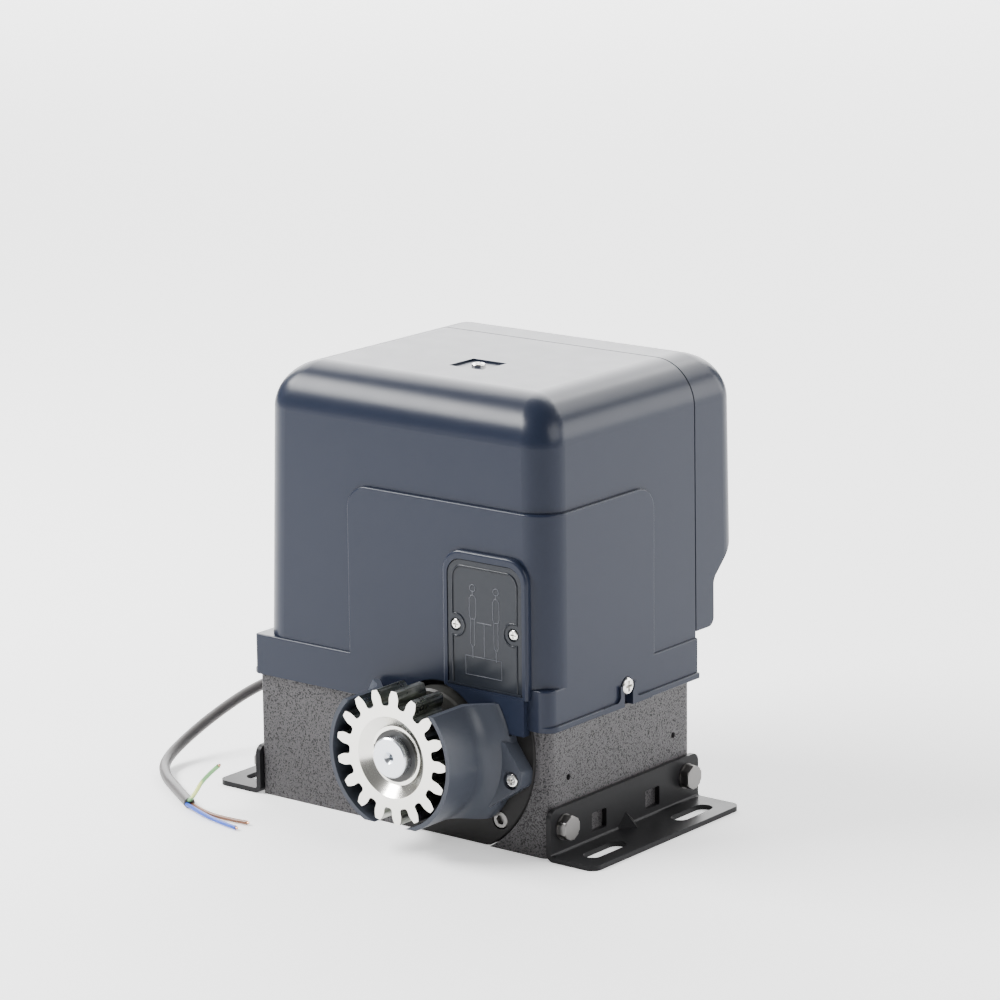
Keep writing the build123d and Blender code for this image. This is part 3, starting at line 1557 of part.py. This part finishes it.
def wire_route(offset, points):
    start = cord_end + Vector(*offset)
    return [tuple(start), *points]


wire_routes = {
    "wire_blue": wire_route((-0.9, -1.3, -0.6), [(-104, -121.5, 2.6), (-88, -125.5, 1.6), (-70, -128.6, 1.6)]),
    "wire_brown": wire_route((0.8, 1.2, -0.7), [(-103, -119.5, 2.6), (-88, -119.8, 1.6), (-71, -118, 1.6)]),
    "wire_earth": wire_route((0, 0, 1.5), [(-111, -117.5, 10), (-103.5, -117.5, 21.5), (-94, -115, 30)]),
}
for name, route in wire_routes.items():
    tube(name, route, wire_dia)

ends = []
for route in wire_routes.values():
    way = (Vector(*route[-1]) - Vector(*route[-2])).normalized()
    ends.append(rod(Plane(origin=route[-1], z_dir=way), 0.7, 1.2))
keep(Compound(children=ends), "wire_ends")
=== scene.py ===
import json
from math import cos, pi, radians, sin

import bpy
from mathutils import Matrix, Vector


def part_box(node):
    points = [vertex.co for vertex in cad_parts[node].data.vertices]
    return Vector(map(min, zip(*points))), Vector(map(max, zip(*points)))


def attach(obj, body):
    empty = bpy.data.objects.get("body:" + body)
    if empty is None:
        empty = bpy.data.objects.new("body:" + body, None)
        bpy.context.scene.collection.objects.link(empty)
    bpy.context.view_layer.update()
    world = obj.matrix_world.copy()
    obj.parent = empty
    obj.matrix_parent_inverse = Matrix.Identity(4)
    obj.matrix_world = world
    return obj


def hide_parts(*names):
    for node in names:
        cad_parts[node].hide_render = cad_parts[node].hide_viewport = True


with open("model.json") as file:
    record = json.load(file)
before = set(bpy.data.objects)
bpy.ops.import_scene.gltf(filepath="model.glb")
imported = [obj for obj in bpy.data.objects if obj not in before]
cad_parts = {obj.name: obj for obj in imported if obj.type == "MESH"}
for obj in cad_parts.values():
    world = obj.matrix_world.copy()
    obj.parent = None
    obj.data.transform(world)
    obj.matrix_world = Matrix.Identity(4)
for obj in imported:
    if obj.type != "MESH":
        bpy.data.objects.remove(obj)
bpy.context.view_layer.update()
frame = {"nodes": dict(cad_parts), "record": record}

MM = 0.001
SHAFT_X = 29.8 * MM
SHAFT_Z = 56.5 * MM
WHITE = (1.0, 1.0, 1.0, 1.0)
CAMERA_SPOT = (1.4326, -1.8044, 0.7302)
FOCAL_LENGTH_MM = 151.54
LIGHTS_AIM = (0.0, 0.0, 0.14)


# --- camera ---------------------------------------------------------------------------
def make_camera():
    """Looks at the front and right side from a little above, with a long lens."""
    yaw = radians(38.07)
    pitch = radians(13.56)
    roll = radians(-0.59)
    ahead = Vector((-sin(yaw) * cos(pitch), cos(yaw) * cos(pitch), -sin(pitch)))
    level = Vector((cos(yaw), sin(yaw), 0.0))
    up = level.cross(ahead)
    side = level * cos(roll) + up * sin(roll)
    top = -level * sin(roll) + up * cos(roll)
    data = bpy.data.cameras.new("camera")
    data.lens = FOCAL_LENGTH_MM
    data.sensor_width = 36.0
    data.clip_start = 0.05
    data.clip_end = 50.0
    camera = bpy.data.objects.new("camera", data)
    bpy.context.collection.objects.link(camera)
    turn = Matrix((side, top, -ahead)).transposed()
    camera.matrix_world = Matrix.Translation(CAMERA_SPOT) @ turn.to_4x4()
    bpy.context.scene.camera = camera


make_camera()


# --- material helpers -----------------------------------------------------------------
class Surface:
    """A new material whose nodes are added one by one."""

    def __init__(self, name, colour, roughness, metallic=0.0, **sockets):
        self.material = bpy.data.materials.new(name)
        self.material.use_nodes = True
        self.tree = self.material.node_tree
        self.shader = self.tree.nodes["Principled BSDF"]
        self.shader.inputs["Base Color"].default_value = (*colour, 1.0)
        self.shader.inputs["Roughness"].default_value = roughness
        self.shader.inputs["Metallic"].default_value = metallic
        for key, value in sockets.items():
            self.shader.inputs[key.replace("_", " ")].default_value = value
        coords = self.tree.nodes.new("ShaderNodeTexCoord")
        self.place = coords.outputs["Object"]

    def node(self, kind, **settings):
        made = self.tree.nodes.new(kind)
        for key, value in settings.items():
            setattr(made, key, value)
        return made

    def link(self, output, target):
        self.tree.links.new(output, target)

    def noise(self, scale, detail=3.0, rough=0.5, place=None):
        """Noise texture over the object's own coordinates; scale is per metre."""
        made = self.node("ShaderNodeTexNoise")
        made.inputs["Scale"].default_value = scale
        made.inputs["Detail"].default_value = detail
        made.inputs["Roughness"].default_value = rough
        self.link(place or self.place, made.inputs["Vector"])
        return made.outputs["Fac"]

    def stretched(self, factors):
        """The object's coordinates, scaled along each axis; under 1 draws a texture out."""
        squeeze = self.node("ShaderNodeVectorMath", operation="MULTIPLY")
        squeeze.inputs[1].default_value = factors
        self.link(self.place, squeeze.inputs[0])
        return squeeze.outputs["Vector"]

    def ramp(self, value, low, high):
        """Maps value from low..high to 0..1 on a smooth step."""
        made = self.node("ShaderNodeMapRange", interpolation_type="SMOOTHSTEP")
        made.inputs["From Min"].default_value = low
        made.inputs["From Max"].default_value = high
        self.link(value, made.inputs["Value"])
        return made.outputs["Result"]

    def math(self, operation, first, second):
        """One sum; first and second are numbers or value outputs."""
        made = self.node("ShaderNodeMath", operation=operation)
        for socket, value in zip(made.inputs, (first, second)):
            if isinstance(value, (int, float)):
                socket.default_value = value
            else:
                self.link(value, socket)
        return made.outputs["Value"]

    def axis(self, name):
        """One of the object's own coordinates, in metres."""
        split = self.node("ShaderNodeSeparateXYZ")
        self.link(self.place, split.inputs["Vector"])
        return split.outputs[name]

    def distance_xz(self, x, z):
        """Distance from a line along Y through (x, z)."""
        dx = self.math("SUBTRACT", self.axis("X"), x)
        dz = self.math("SUBTRACT", self.axis("Z"), z)
        total = self.math("ADD", self.math("MULTIPLY", dx, dx), self.math("MULTIPLY", dz, dz))
        return self.math("POWER", total, 0.5)

    def blend(self, factor, first, second):
        """A colour mix; first and second are colours or colour outputs."""
        made = self.node("ShaderNodeMix", data_type="RGBA")
        self.link(factor, made.inputs["Factor"])
        for key, value in (("A", first), ("B", second)):
            socket = [s for s in made.inputs if s.name == key and s.type == "RGBA"][0]
            if isinstance(value, tuple):
                socket.default_value = (*value, 1.0)
            else:
                self.link(value, socket)
        return [s for s in made.outputs if s.type == "RGBA"][0]

    def colour(self, output):
        self.link(output, self.shader.inputs["Base Color"])

    def roughness(self, value, low, high):
        """Roughness from low to high as value goes from 0 to 1."""
        made = self.node("ShaderNodeMapRange")
        made.inputs["To Min"].default_value = low
        made.inputs["To Max"].default_value = high
        self.link(value, made.inputs["Value"])
        self.link(made.outputs["Result"], self.shader.inputs["Roughness"])

    def bump(self, height, depth, strength=1.0):
        made = self.node("ShaderNodeBump")
        made.inputs["Strength"].default_value = strength
        made.inputs["Distance"].default_value = depth
        self.link(height, made.inputs["Height"])
        self.link(made.outputs["Normal"], self.shader.inputs["Normal"])


def pitted_paint():
    """Hammered grey-brown paint with fine dark pits."""
    s = Surface("pitted_paint", (0.10, 0.095, 0.095), 0.42, 0.25)
    pits = s.ramp(s.noise(1050.0, 2.0, 0.6), 0.38, 0.50)
    grit = s.ramp(s.noise(2100.0, 1.0, 0.5), 0.35, 0.62)
    blotch = s.noise(26.0, 4.0)
    grey = s.blend(blotch, (0.048, 0.045, 0.048), (0.072, 0.068, 0.071))
    grey = s.blend(grit, (0.033, 0.031, 0.033), grey)
    s.colour(s.blend(pits, (0.007, 0.007, 0.008), grey))
    s.roughness(pits, 0.70, 0.42)
    s.bump(s.math("ADD", pits, s.math("MULTIPLY", grit, 0.5)), 0.12 * MM)
    return s.material


def moulded_plastic(name, colour, roughness, grain=0.02):
    """Satin moulded plastic with a very fine eroded grain."""
    s = Surface(name, colour, roughness, Specular_IOR_Level=0.21)
    cloud = s.noise(9.0, 4.0)
    darker = tuple(c * 0.92 for c in colour)
    s.colour(s.blend(cloud, darker, colour))
    s.roughness(s.noise(70.0, 3.0), roughness - 0.03, roughness + 0.04)
    s.bump(s.noise(2600.0, 2.0), grain * MM, 0.4)
    return s.material


def satin_black():
    """Smooth black stoving enamel, a little uneven where it has pooled."""
    s = Surface("satin_black", (0.014, 0.014, 0.015), 0.32, Specular_IOR_Level=0.10)
    s.roughness(s.noise(40.0, 4.0), 0.28, 0.40)
    s.bump(s.noise(300.0, 3.0), 0.06 * MM, 0.5)
    return s.material


HUB_EDGE = (30.4 * MM, 30.8 * MM)
SHAFT_END_EDGE = (11.3 * MM, 11.5 * MM)
PINION_FACE_EDGE = (-112.35 * MM, -112.15 * MM)
TOOTH_FOOT = (26.5 * MM, 27.5 * MM)
TURNING_PITCH = 0.30 * MM
STRIPE_EDGE = (-116.4 * MM, -115.6 * MM)


def flange_metal():
    """Black painted plate; its hub is left as dark cast metal."""
    s = Surface("flange_metal", (0.010, 0.010, 0.010), 0.34, Specular_IOR_Level=0.14)
    radius = s.distance_xz(SHAFT_X, SHAFT_Z)
    plate = s.ramp(radius, *HUB_EDGE)
    cast = s.blend(s.noise(260.0, 6.0, 0.7), (0.010, 0.010, 0.009), (0.050, 0.050, 0.047))
    paint = s.blend(s.noise(30.0, 4.0), (0.009, 0.009, 0.009), (0.018, 0.017, 0.017))
    s.colour(s.blend(plate, cast, paint))
    s.roughness(s.noise(60.0, 4.0), 0.28, 0.45)
    s.bump(s.noise(500.0, 3.0), 0.05 * MM, 0.6)
    return s.material


def pinion_metal():
    """Zinc-plated and turned face; the flanks are drawn, darker and oily along their length."""
    s = Surface("pinion_metal", (0.8, 0.78, 0.72), 0.25, 1.0)
    radius = s.distance_xz(SHAFT_X, SHAFT_Z)
    behind = s.ramp(s.axis("Y"), *PINION_FACE_EDGE)
    teeth = s.ramp(radius, *TOOTH_FOOT)
    flank = s.math("MULTIPLY", behind, teeth)
    stain = s.noise(90.0, 6.0, 0.6)
    drawn = s.noise(420.0, place=s.stretched((1.0, 0.06, 1.0)))
    oily = s.blend(s.ramp(stain, 0.30, 0.62), (0.30, 0.315, 0.28), (0.72, 0.73, 0.68))
    oily = s.blend(s.ramp(drawn, 0.40, 0.62), (0.22, 0.235, 0.20), oily)
    plated = s.blend(s.noise(38.0, 4.0), (0.90, 0.89, 0.84), (0.78, 0.765, 0.70))
    s.colour(s.blend(flank, plated, oily))
    rings = s.math("SINE", s.math("MULTIPLY", radius, 2 * pi / TURNING_PITCH), 0.0)
    s.bump(rings, 0.004 * MM, 0.5)
    dull = s.math("ADD", s.math("MULTIPLY", flank, 0.25), s.math("MULTIPLY", stain, 0.3))
    s.roughness(dull, 0.14, 0.50)
    return s.material


def shaft_metal():
    """Bright turned end; the side of the shaft is painted near black as painted shade of the shadowed
    bore round it.
    """
    s = Surface("shaft_steel", (0.80, 0.84, 0.90), 0.25, 1.0)
    # painted shade: past the end's edge the shaft's side is coloured near black, standing in for the
    # shadow in the bore
    side = s.ramp(s.distance_xz(SHAFT_X, SHAFT_Z), *SHAFT_END_EDGE)
    cloud = s.noise(60.0, 4.0)
    bright = s.blend(cloud, (0.66, 0.69, 0.74), (0.84, 0.88, 0.94))
    s.colour(s.blend(side, bright, (0.07, 0.07, 0.065)))
    s.roughness(cloud, 0.20, 0.32)
    s.bump(s.noise(900.0, 2.0), 0.01 * MM, 0.4)
    return s.material


def turned_steel(name, colour, roughness):
    """Bare metal with a faint uneven sheen."""
    s = Surface(name, colour, roughness, 1.0)
    cloud = s.noise(60.0, 4.0)
    darker = tuple(c * 0.8 for c in colour)
    s.colour(s.blend(cloud, darker, colour))
    s.roughness(cloud, roughness * 0.8, roughness * 1.3)
    s.bump(s.noise(900.0, 2.0), 0.01 * MM, 0.4)
    return s.material


def rubber_skin(name, colour, roughness=0.55):
    """Soft or extruded skin, slightly mottled."""
    s = Surface(name, colour, roughness)
    cloud = s.noise(80.0, 4.0)
    s.colour(s.blend(cloud, tuple(c * 0.85 for c in colour), tuple(c * 1.12 for c in colour)))
    s.roughness(cloud, roughness - 0.08, roughness + 0.08)
    s.bump(s.noise(1500.0, 2.0), 0.03 * MM, 0.5)
    return s.material


def striped_sheath():
    """Light green insulation with a yellow stripe along its upper side."""
    s = Surface("earth_sheath", (0.4, 0.5, 0.1), 0.33)
    lean = s.math("ADD", s.axis("Y"), s.math("MULTIPLY", s.axis("Z"), 0.12))
    stripe = s.ramp(lean, *STRIPE_EDGE)
    cloud = s.noise(300.0, 3.0)
    green = s.blend(cloud, (0.13, 0.33, 0.12), (0.20, 0.42, 0.17))
    s.colour(s.blend(stripe, (0.66, 0.74, 0.22), green))
    s.roughness(cloud, 0.28, 0.40)
    return s.material


MATERIALS = {
    "base_paint": pitted_paint(),
    "flange_paint": flange_metal(),
    "black_paint": satin_black(),
    "cover_plastic": moulded_plastic("cover_plastic", (0.0120, 0.0160, 0.0300), 0.29),
    "guard_plastic": moulded_plastic("guard_plastic", (0.040, 0.045, 0.058), 0.33),
    "limit_plastic": moulded_plastic("limit_plastic", (0.015, 0.0175, 0.0230), 0.18, 0.006),
    "bright_steel": pinion_metal(),
    "shaft_steel": shaft_metal(),
    "dull_zinc": turned_steel("dull_zinc", (0.22, 0.215, 0.21), 0.33),
    "screw_nickel": turned_steel("screw_nickel", (0.86, 0.85, 0.82), 0.2),
    "bearing_steel": turned_steel("bearing_steel", (0.75, 0.75, 0.76), 0.15),
    "spring_steel": rubber_skin("spring_steel", (0.02, 0.02, 0.02), 0.35),
    "bronze": turned_steel("bronze", (0.70, 0.45, 0.20), 0.3),
    "cast_aluminium": turned_steel("cast_aluminium", (0.62, 0.62, 0.63), 0.5),
    "lamination": turned_steel("lamination", (0.28, 0.28, 0.30), 0.45),
    "copper": turned_steel("copper", (0.78, 0.34, 0.16), 0.35),
    "seal_rubber": rubber_skin("seal_rubber", (0.015, 0.015, 0.015)),
    "cord_rubber": rubber_skin("cord_rubber", (0.085, 0.080, 0.080), 0.45),
    "blue_sheath": rubber_skin("blue_sheath", (0.02, 0.075, 0.45), 0.35),
    "brown_sheath": rubber_skin("brown_sheath", (0.20, 0.085, 0.04), 0.35),
    "earth_sheath": striped_sheath(),
    "bare_copper": turned_steel("bare_copper", (0.80, 0.45, 0.27), 0.35),
    "galvanised": turned_steel("galvanised", (0.62, 0.63, 0.64), 0.38),
    "board_green": moulded_plastic("board_green", (0.02, 0.16, 0.06), 0.3),
    "relay_blue": moulded_plastic("relay_blue", (0.03, 0.12, 0.45), 0.35),
    "terminal_green": moulded_plastic("terminal_green", (0.06, 0.35, 0.10), 0.4),
    "capacitor_white": moulded_plastic("capacitor_white", (0.72, 0.72, 0.70), 0.35),
    "black_plastic": moulded_plastic("black_plastic", (0.018, 0.018, 0.02), 0.4),
    "fuse_glass": Surface("fuse_glass", (0.9, 0.93, 0.93), 0.05, 0.0, Alpha=0.35).material,
}


# --- supply cord and its sheathed conductors, control points in millimetres ------------
CORD_ROUTE = [
    (-121, 29, 45.5),
    (-139, 29, 45.5),
    (-155, 21, 43.5),
    (-169, 4, 36.5),
    (-179, -18, 25),
    (-185, -42, 12.5),
    (-181, -66, 4.8),
    (-164, -84, 3.5),
    (-141, -99, 3.3),
    (-118, -114, 3.3),
]
WIRE_ROUTES = {
    "wire_blue": [(-118.9, -115.3, 2.7), (-104, -121.5, 2.6), (-88, -125.5, 1.6), (-70, -128.6, 1.6)],
    "wire_brown": [(-117.2, -112.8, 2.6), (-103, -119.5, 2.6), (-88, -119.8, 1.6), (-71, -118, 1.6)],
    "wire_earth": [(-118, -114, 4.8), (-111, -117.5, 10), (-103.5, -117.5, 21.5), (-94, -115, 30)],
}


def cord_curve(name, route, diameter, material):
    """A round cord on one NURBS spline through the route's control points, in millimetres."""
    curve = bpy.data.curves.new(name, "CURVE")
    curve.dimensions = "3D"
    curve.bevel_depth = diameter / 2
    curve.bevel_resolution = 8
    curve.resolution_u = 24
    curve.use_fill_caps = True
    spline = curve.splines.new("NURBS")
    spline.points.add(len(route) - 1)
    for point, (x, y, z) in zip(spline.points, route):
        point.co = (x * MM, y * MM, z * MM, 1.0)
    spline.order_u = 3
    spline.use_endpoint_u = True
    piece = bpy.data.objects.new(name, curve)
    bpy.context.collection.objects.link(piece)
    curve.materials.append(material)
    return piece


def make_cords():
    """The cord and its conductors, each in place of its CAD node."""
    cord = cord_curve("supply_cord", CORD_ROUTE, 6.4 * MM, MATERIALS["cord_rubber"])
    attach(cord, "housing")
    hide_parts("power_cord")
    slots = {"wire_blue": "blue_sheath", "wire_brown": "brown_sheath", "wire_earth": "earth_sheath"}
    for name, route in WIRE_ROUTES.items():
        wire = cord_curve(name + "_sheath", route, 2.4 * MM, MATERIALS[slots[name]])
        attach(wire, "housing")
        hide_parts(name)


make_cords()


# --- materials of the CAD nodes -------------------------------------------------------
def dress_nodes():
    """Gives each CAD node the material of its slot."""
    slots = {entry["node"]: entry["material_slot"] for entry in frame["record"]["subparts"]}
    for name, node in frame["nodes"].items():
        material = MATERIALS[slots[name]]
        for index in range(max(1, len(node.material_slots))):
            if not node.material_slots:
                node.data.materials.append(material)
            node.material_slots[index].material = material


dress_nodes()


# --- fine raised lines on the limit cover ---------------------------------------------
# painted highlight: the fine lines get a lighter copy of the cover plastic, standing in for light
# caught on their edges
PAINTED_HIGHLIGHT_LINES = moulded_plastic("painted_highlight_lines", (0.085, 0.09, 0.105), 0.28)
SILL_DEPTH = 0.8 * MM
SIGN_RADIUS = 0.24 * MM
BORDER_RADIUS = 0.6 * MM
BORDER_FOOT_Z = 92.4


def arc(x, z, radius, start, end, steps=10):
    """Points of an arc in the XZ plane, angles in degrees from +X towards +Z."""
    turns = [radians(start + (end - start) * i / steps) for i in range(steps + 1)]
    return [(x + radius * cos(t), z + radius * sin(t)) for t in turns]


def gauge(x, z):
    """A position pin: a ring, a forked bar under it and its stem, as closed and open lines."""
    ring = arc(x, z, 1.9, 0, 360, 20)
    neck = [(x, z - 1.9), (x, z - 4.2)]
    wide = [
        (x - 1.2, z - 4.2),
        (x + 1.2, z - 4.2),
        (x + 2.2, z - 6.0),
        (x + 2.2, z - 15.5),
        (x + 1.4, z - 17.5),
        (x - 1.4, z - 17.5),
        (x - 2.2, z - 15.5),
        (x - 2.2, z - 6.0),
    ]
    narrow = [
        (x - 1.4, z - 17.5),
        (x - 1.4, z - 31.5),
        (x, z - 33.5),
        (x + 1.4, z - 31.5),
        (x + 1.4, z - 17.5),
    ]
    stem = [(x, z - 33.5), (x, z - 39.5)]
    return [(ring, False), (neck, False), (wide, True), (narrow, False), (stem, False)]


def border():
    """The ridge inside the cover's edge, which steps inwards round its two screws."""
    left, right, top, corner = 41.8, 86.2, 158.9, 7.0
    line = [(left, BORDER_FOOT_Z), *arc(43.8, 125.2, 6.4, -108, 108), (left, top - corner)]
    line += arc(left + corner, top - corner, corner, 180, 90)
    line += arc(right - corner, top - corner, corner, 90, 0)
    line += [*arc(83.5, 125.1, 6.4, 65, 295), (right, BORDER_FOOT_Z)]
    return line


def relief(name, lines, radius, y, material):
    """Half-sunk round lines lying on the plate whose face is at y."""
    curve = bpy.data.curves.new(name, "CURVE")
    curve.dimensions = "3D"
    curve.bevel_depth = radius
    curve.bevel_resolution = 3
    curve.use_fill_caps = True
    for points, closed in lines:
        spline = curve.splines.new("POLY")
        spline.points.add(len(points) - 1)
        spline.use_cyclic_u = closed
        for point, (x, z) in zip(spline.points, points):
            point.co = (x * MM, y, z * MM, 1.0)
    piece = bpy.data.objects.new(name, curve)
    bpy.context.collection.objects.link(piece)
    curve.materials.append(material)
    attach(piece, "housing")


def make_limit_relief():
    """Two position pins, a cross and a frame, with a ridge round them."""
    face_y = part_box("limit_cover")[0][1] + SILL_DEPTH
    cross = [([(59.0, 128.4), (68.6, 128.4)], False), ([(63.8, 128.4), (63.8, 109.6)], False)]
    frame_line = [(50.7, 98.3), (75.5, 98.3), (75.5, 108.9), (50.7, 108.9)]
    lines = gauge(55.8, 147.4) + gauge(71.9, 147.4) + cross + [(frame_line, True)]
    # the pins, cross and frame carry the lighter plastic with the painted highlight
    relief("limit_signs", lines, SIGN_RADIUS, face_y, PAINTED_HIGHLIGHT_LINES)
    relief("limit_border", [(border(), False)], BORDER_RADIUS, face_y, MATERIALS["limit_plastic"])


make_limit_relief()


# --- floor and studio light -----------------------------------------------------------
def softbox(name, way, distance, size, radiance):
    """A rectangular light that faces the object from a direction; radiance is what it shows."""
    data = bpy.data.lights.new(name, "AREA")
    data.shape = "RECTANGLE"
    data.size, data.size_y = size
    data.energy = radiance * pi * size[0] * size[1]
    light = bpy.data.objects.new(name, data)
    bpy.context.collection.objects.link(light)
    outwards = Vector(way).normalized()
    light.location = Vector(LIGHTS_AIM) + outwards * distance
    light.rotation_euler = (-outwards).to_track_quat("-Z", "Y").to_euler()


def make_floor():
    """A wide white floor that glows a little, so that it stays pale."""
    mesh = bpy.data.meshes.new("floor")
    reach = 6.0
    corners = [(-reach, -reach, 0), (reach, -reach, 0), (reach, reach, 0), (-reach, reach, 0)]
    mesh.from_pydata(corners, [], [(0, 1, 2, 3)])
    floor = bpy.data.objects.new("floor", mesh)
    bpy.context.collection.objects.link(floor)
    white = Surface("floor", (0.9, 0.9, 0.9), 0.95, Emission_Color=WHITE, Emission_Strength=0.6)
    mesh.materials.append(white.material)


def make_light():
    """A dim white world and soft rectangular lights above, behind and beside the object."""
    world = bpy.data.worlds.new("studio")
    bpy.context.scene.world = world
    world.use_nodes = True
    background = world.node_tree.nodes["Background"]
    background.inputs["Color"].default_value = WHITE
    background.inputs["Strength"].default_value = 0.22
    softbox("back_wall", (-0.60, 0.765, 0.52), 4.6, (5.0, 4.0), 8.0)
    softbox("back_top", (0.15, 0.78, 0.62), 2.6, (1.5, 0.8), 7.0)
    softbox("upper_strip", (-0.63, -0.42, 0.65), 1.8, (1.4, 0.60), 36.0)
    softbox("right_panel", (0.86, 0.10, 0.45), 2.0, (1.3, 1.1), 6.0)
    softbox("right_back", (0.56, 0.78, 0.20), 3.6, (2.6, 1.5), 7.0)


make_floor()
make_light()
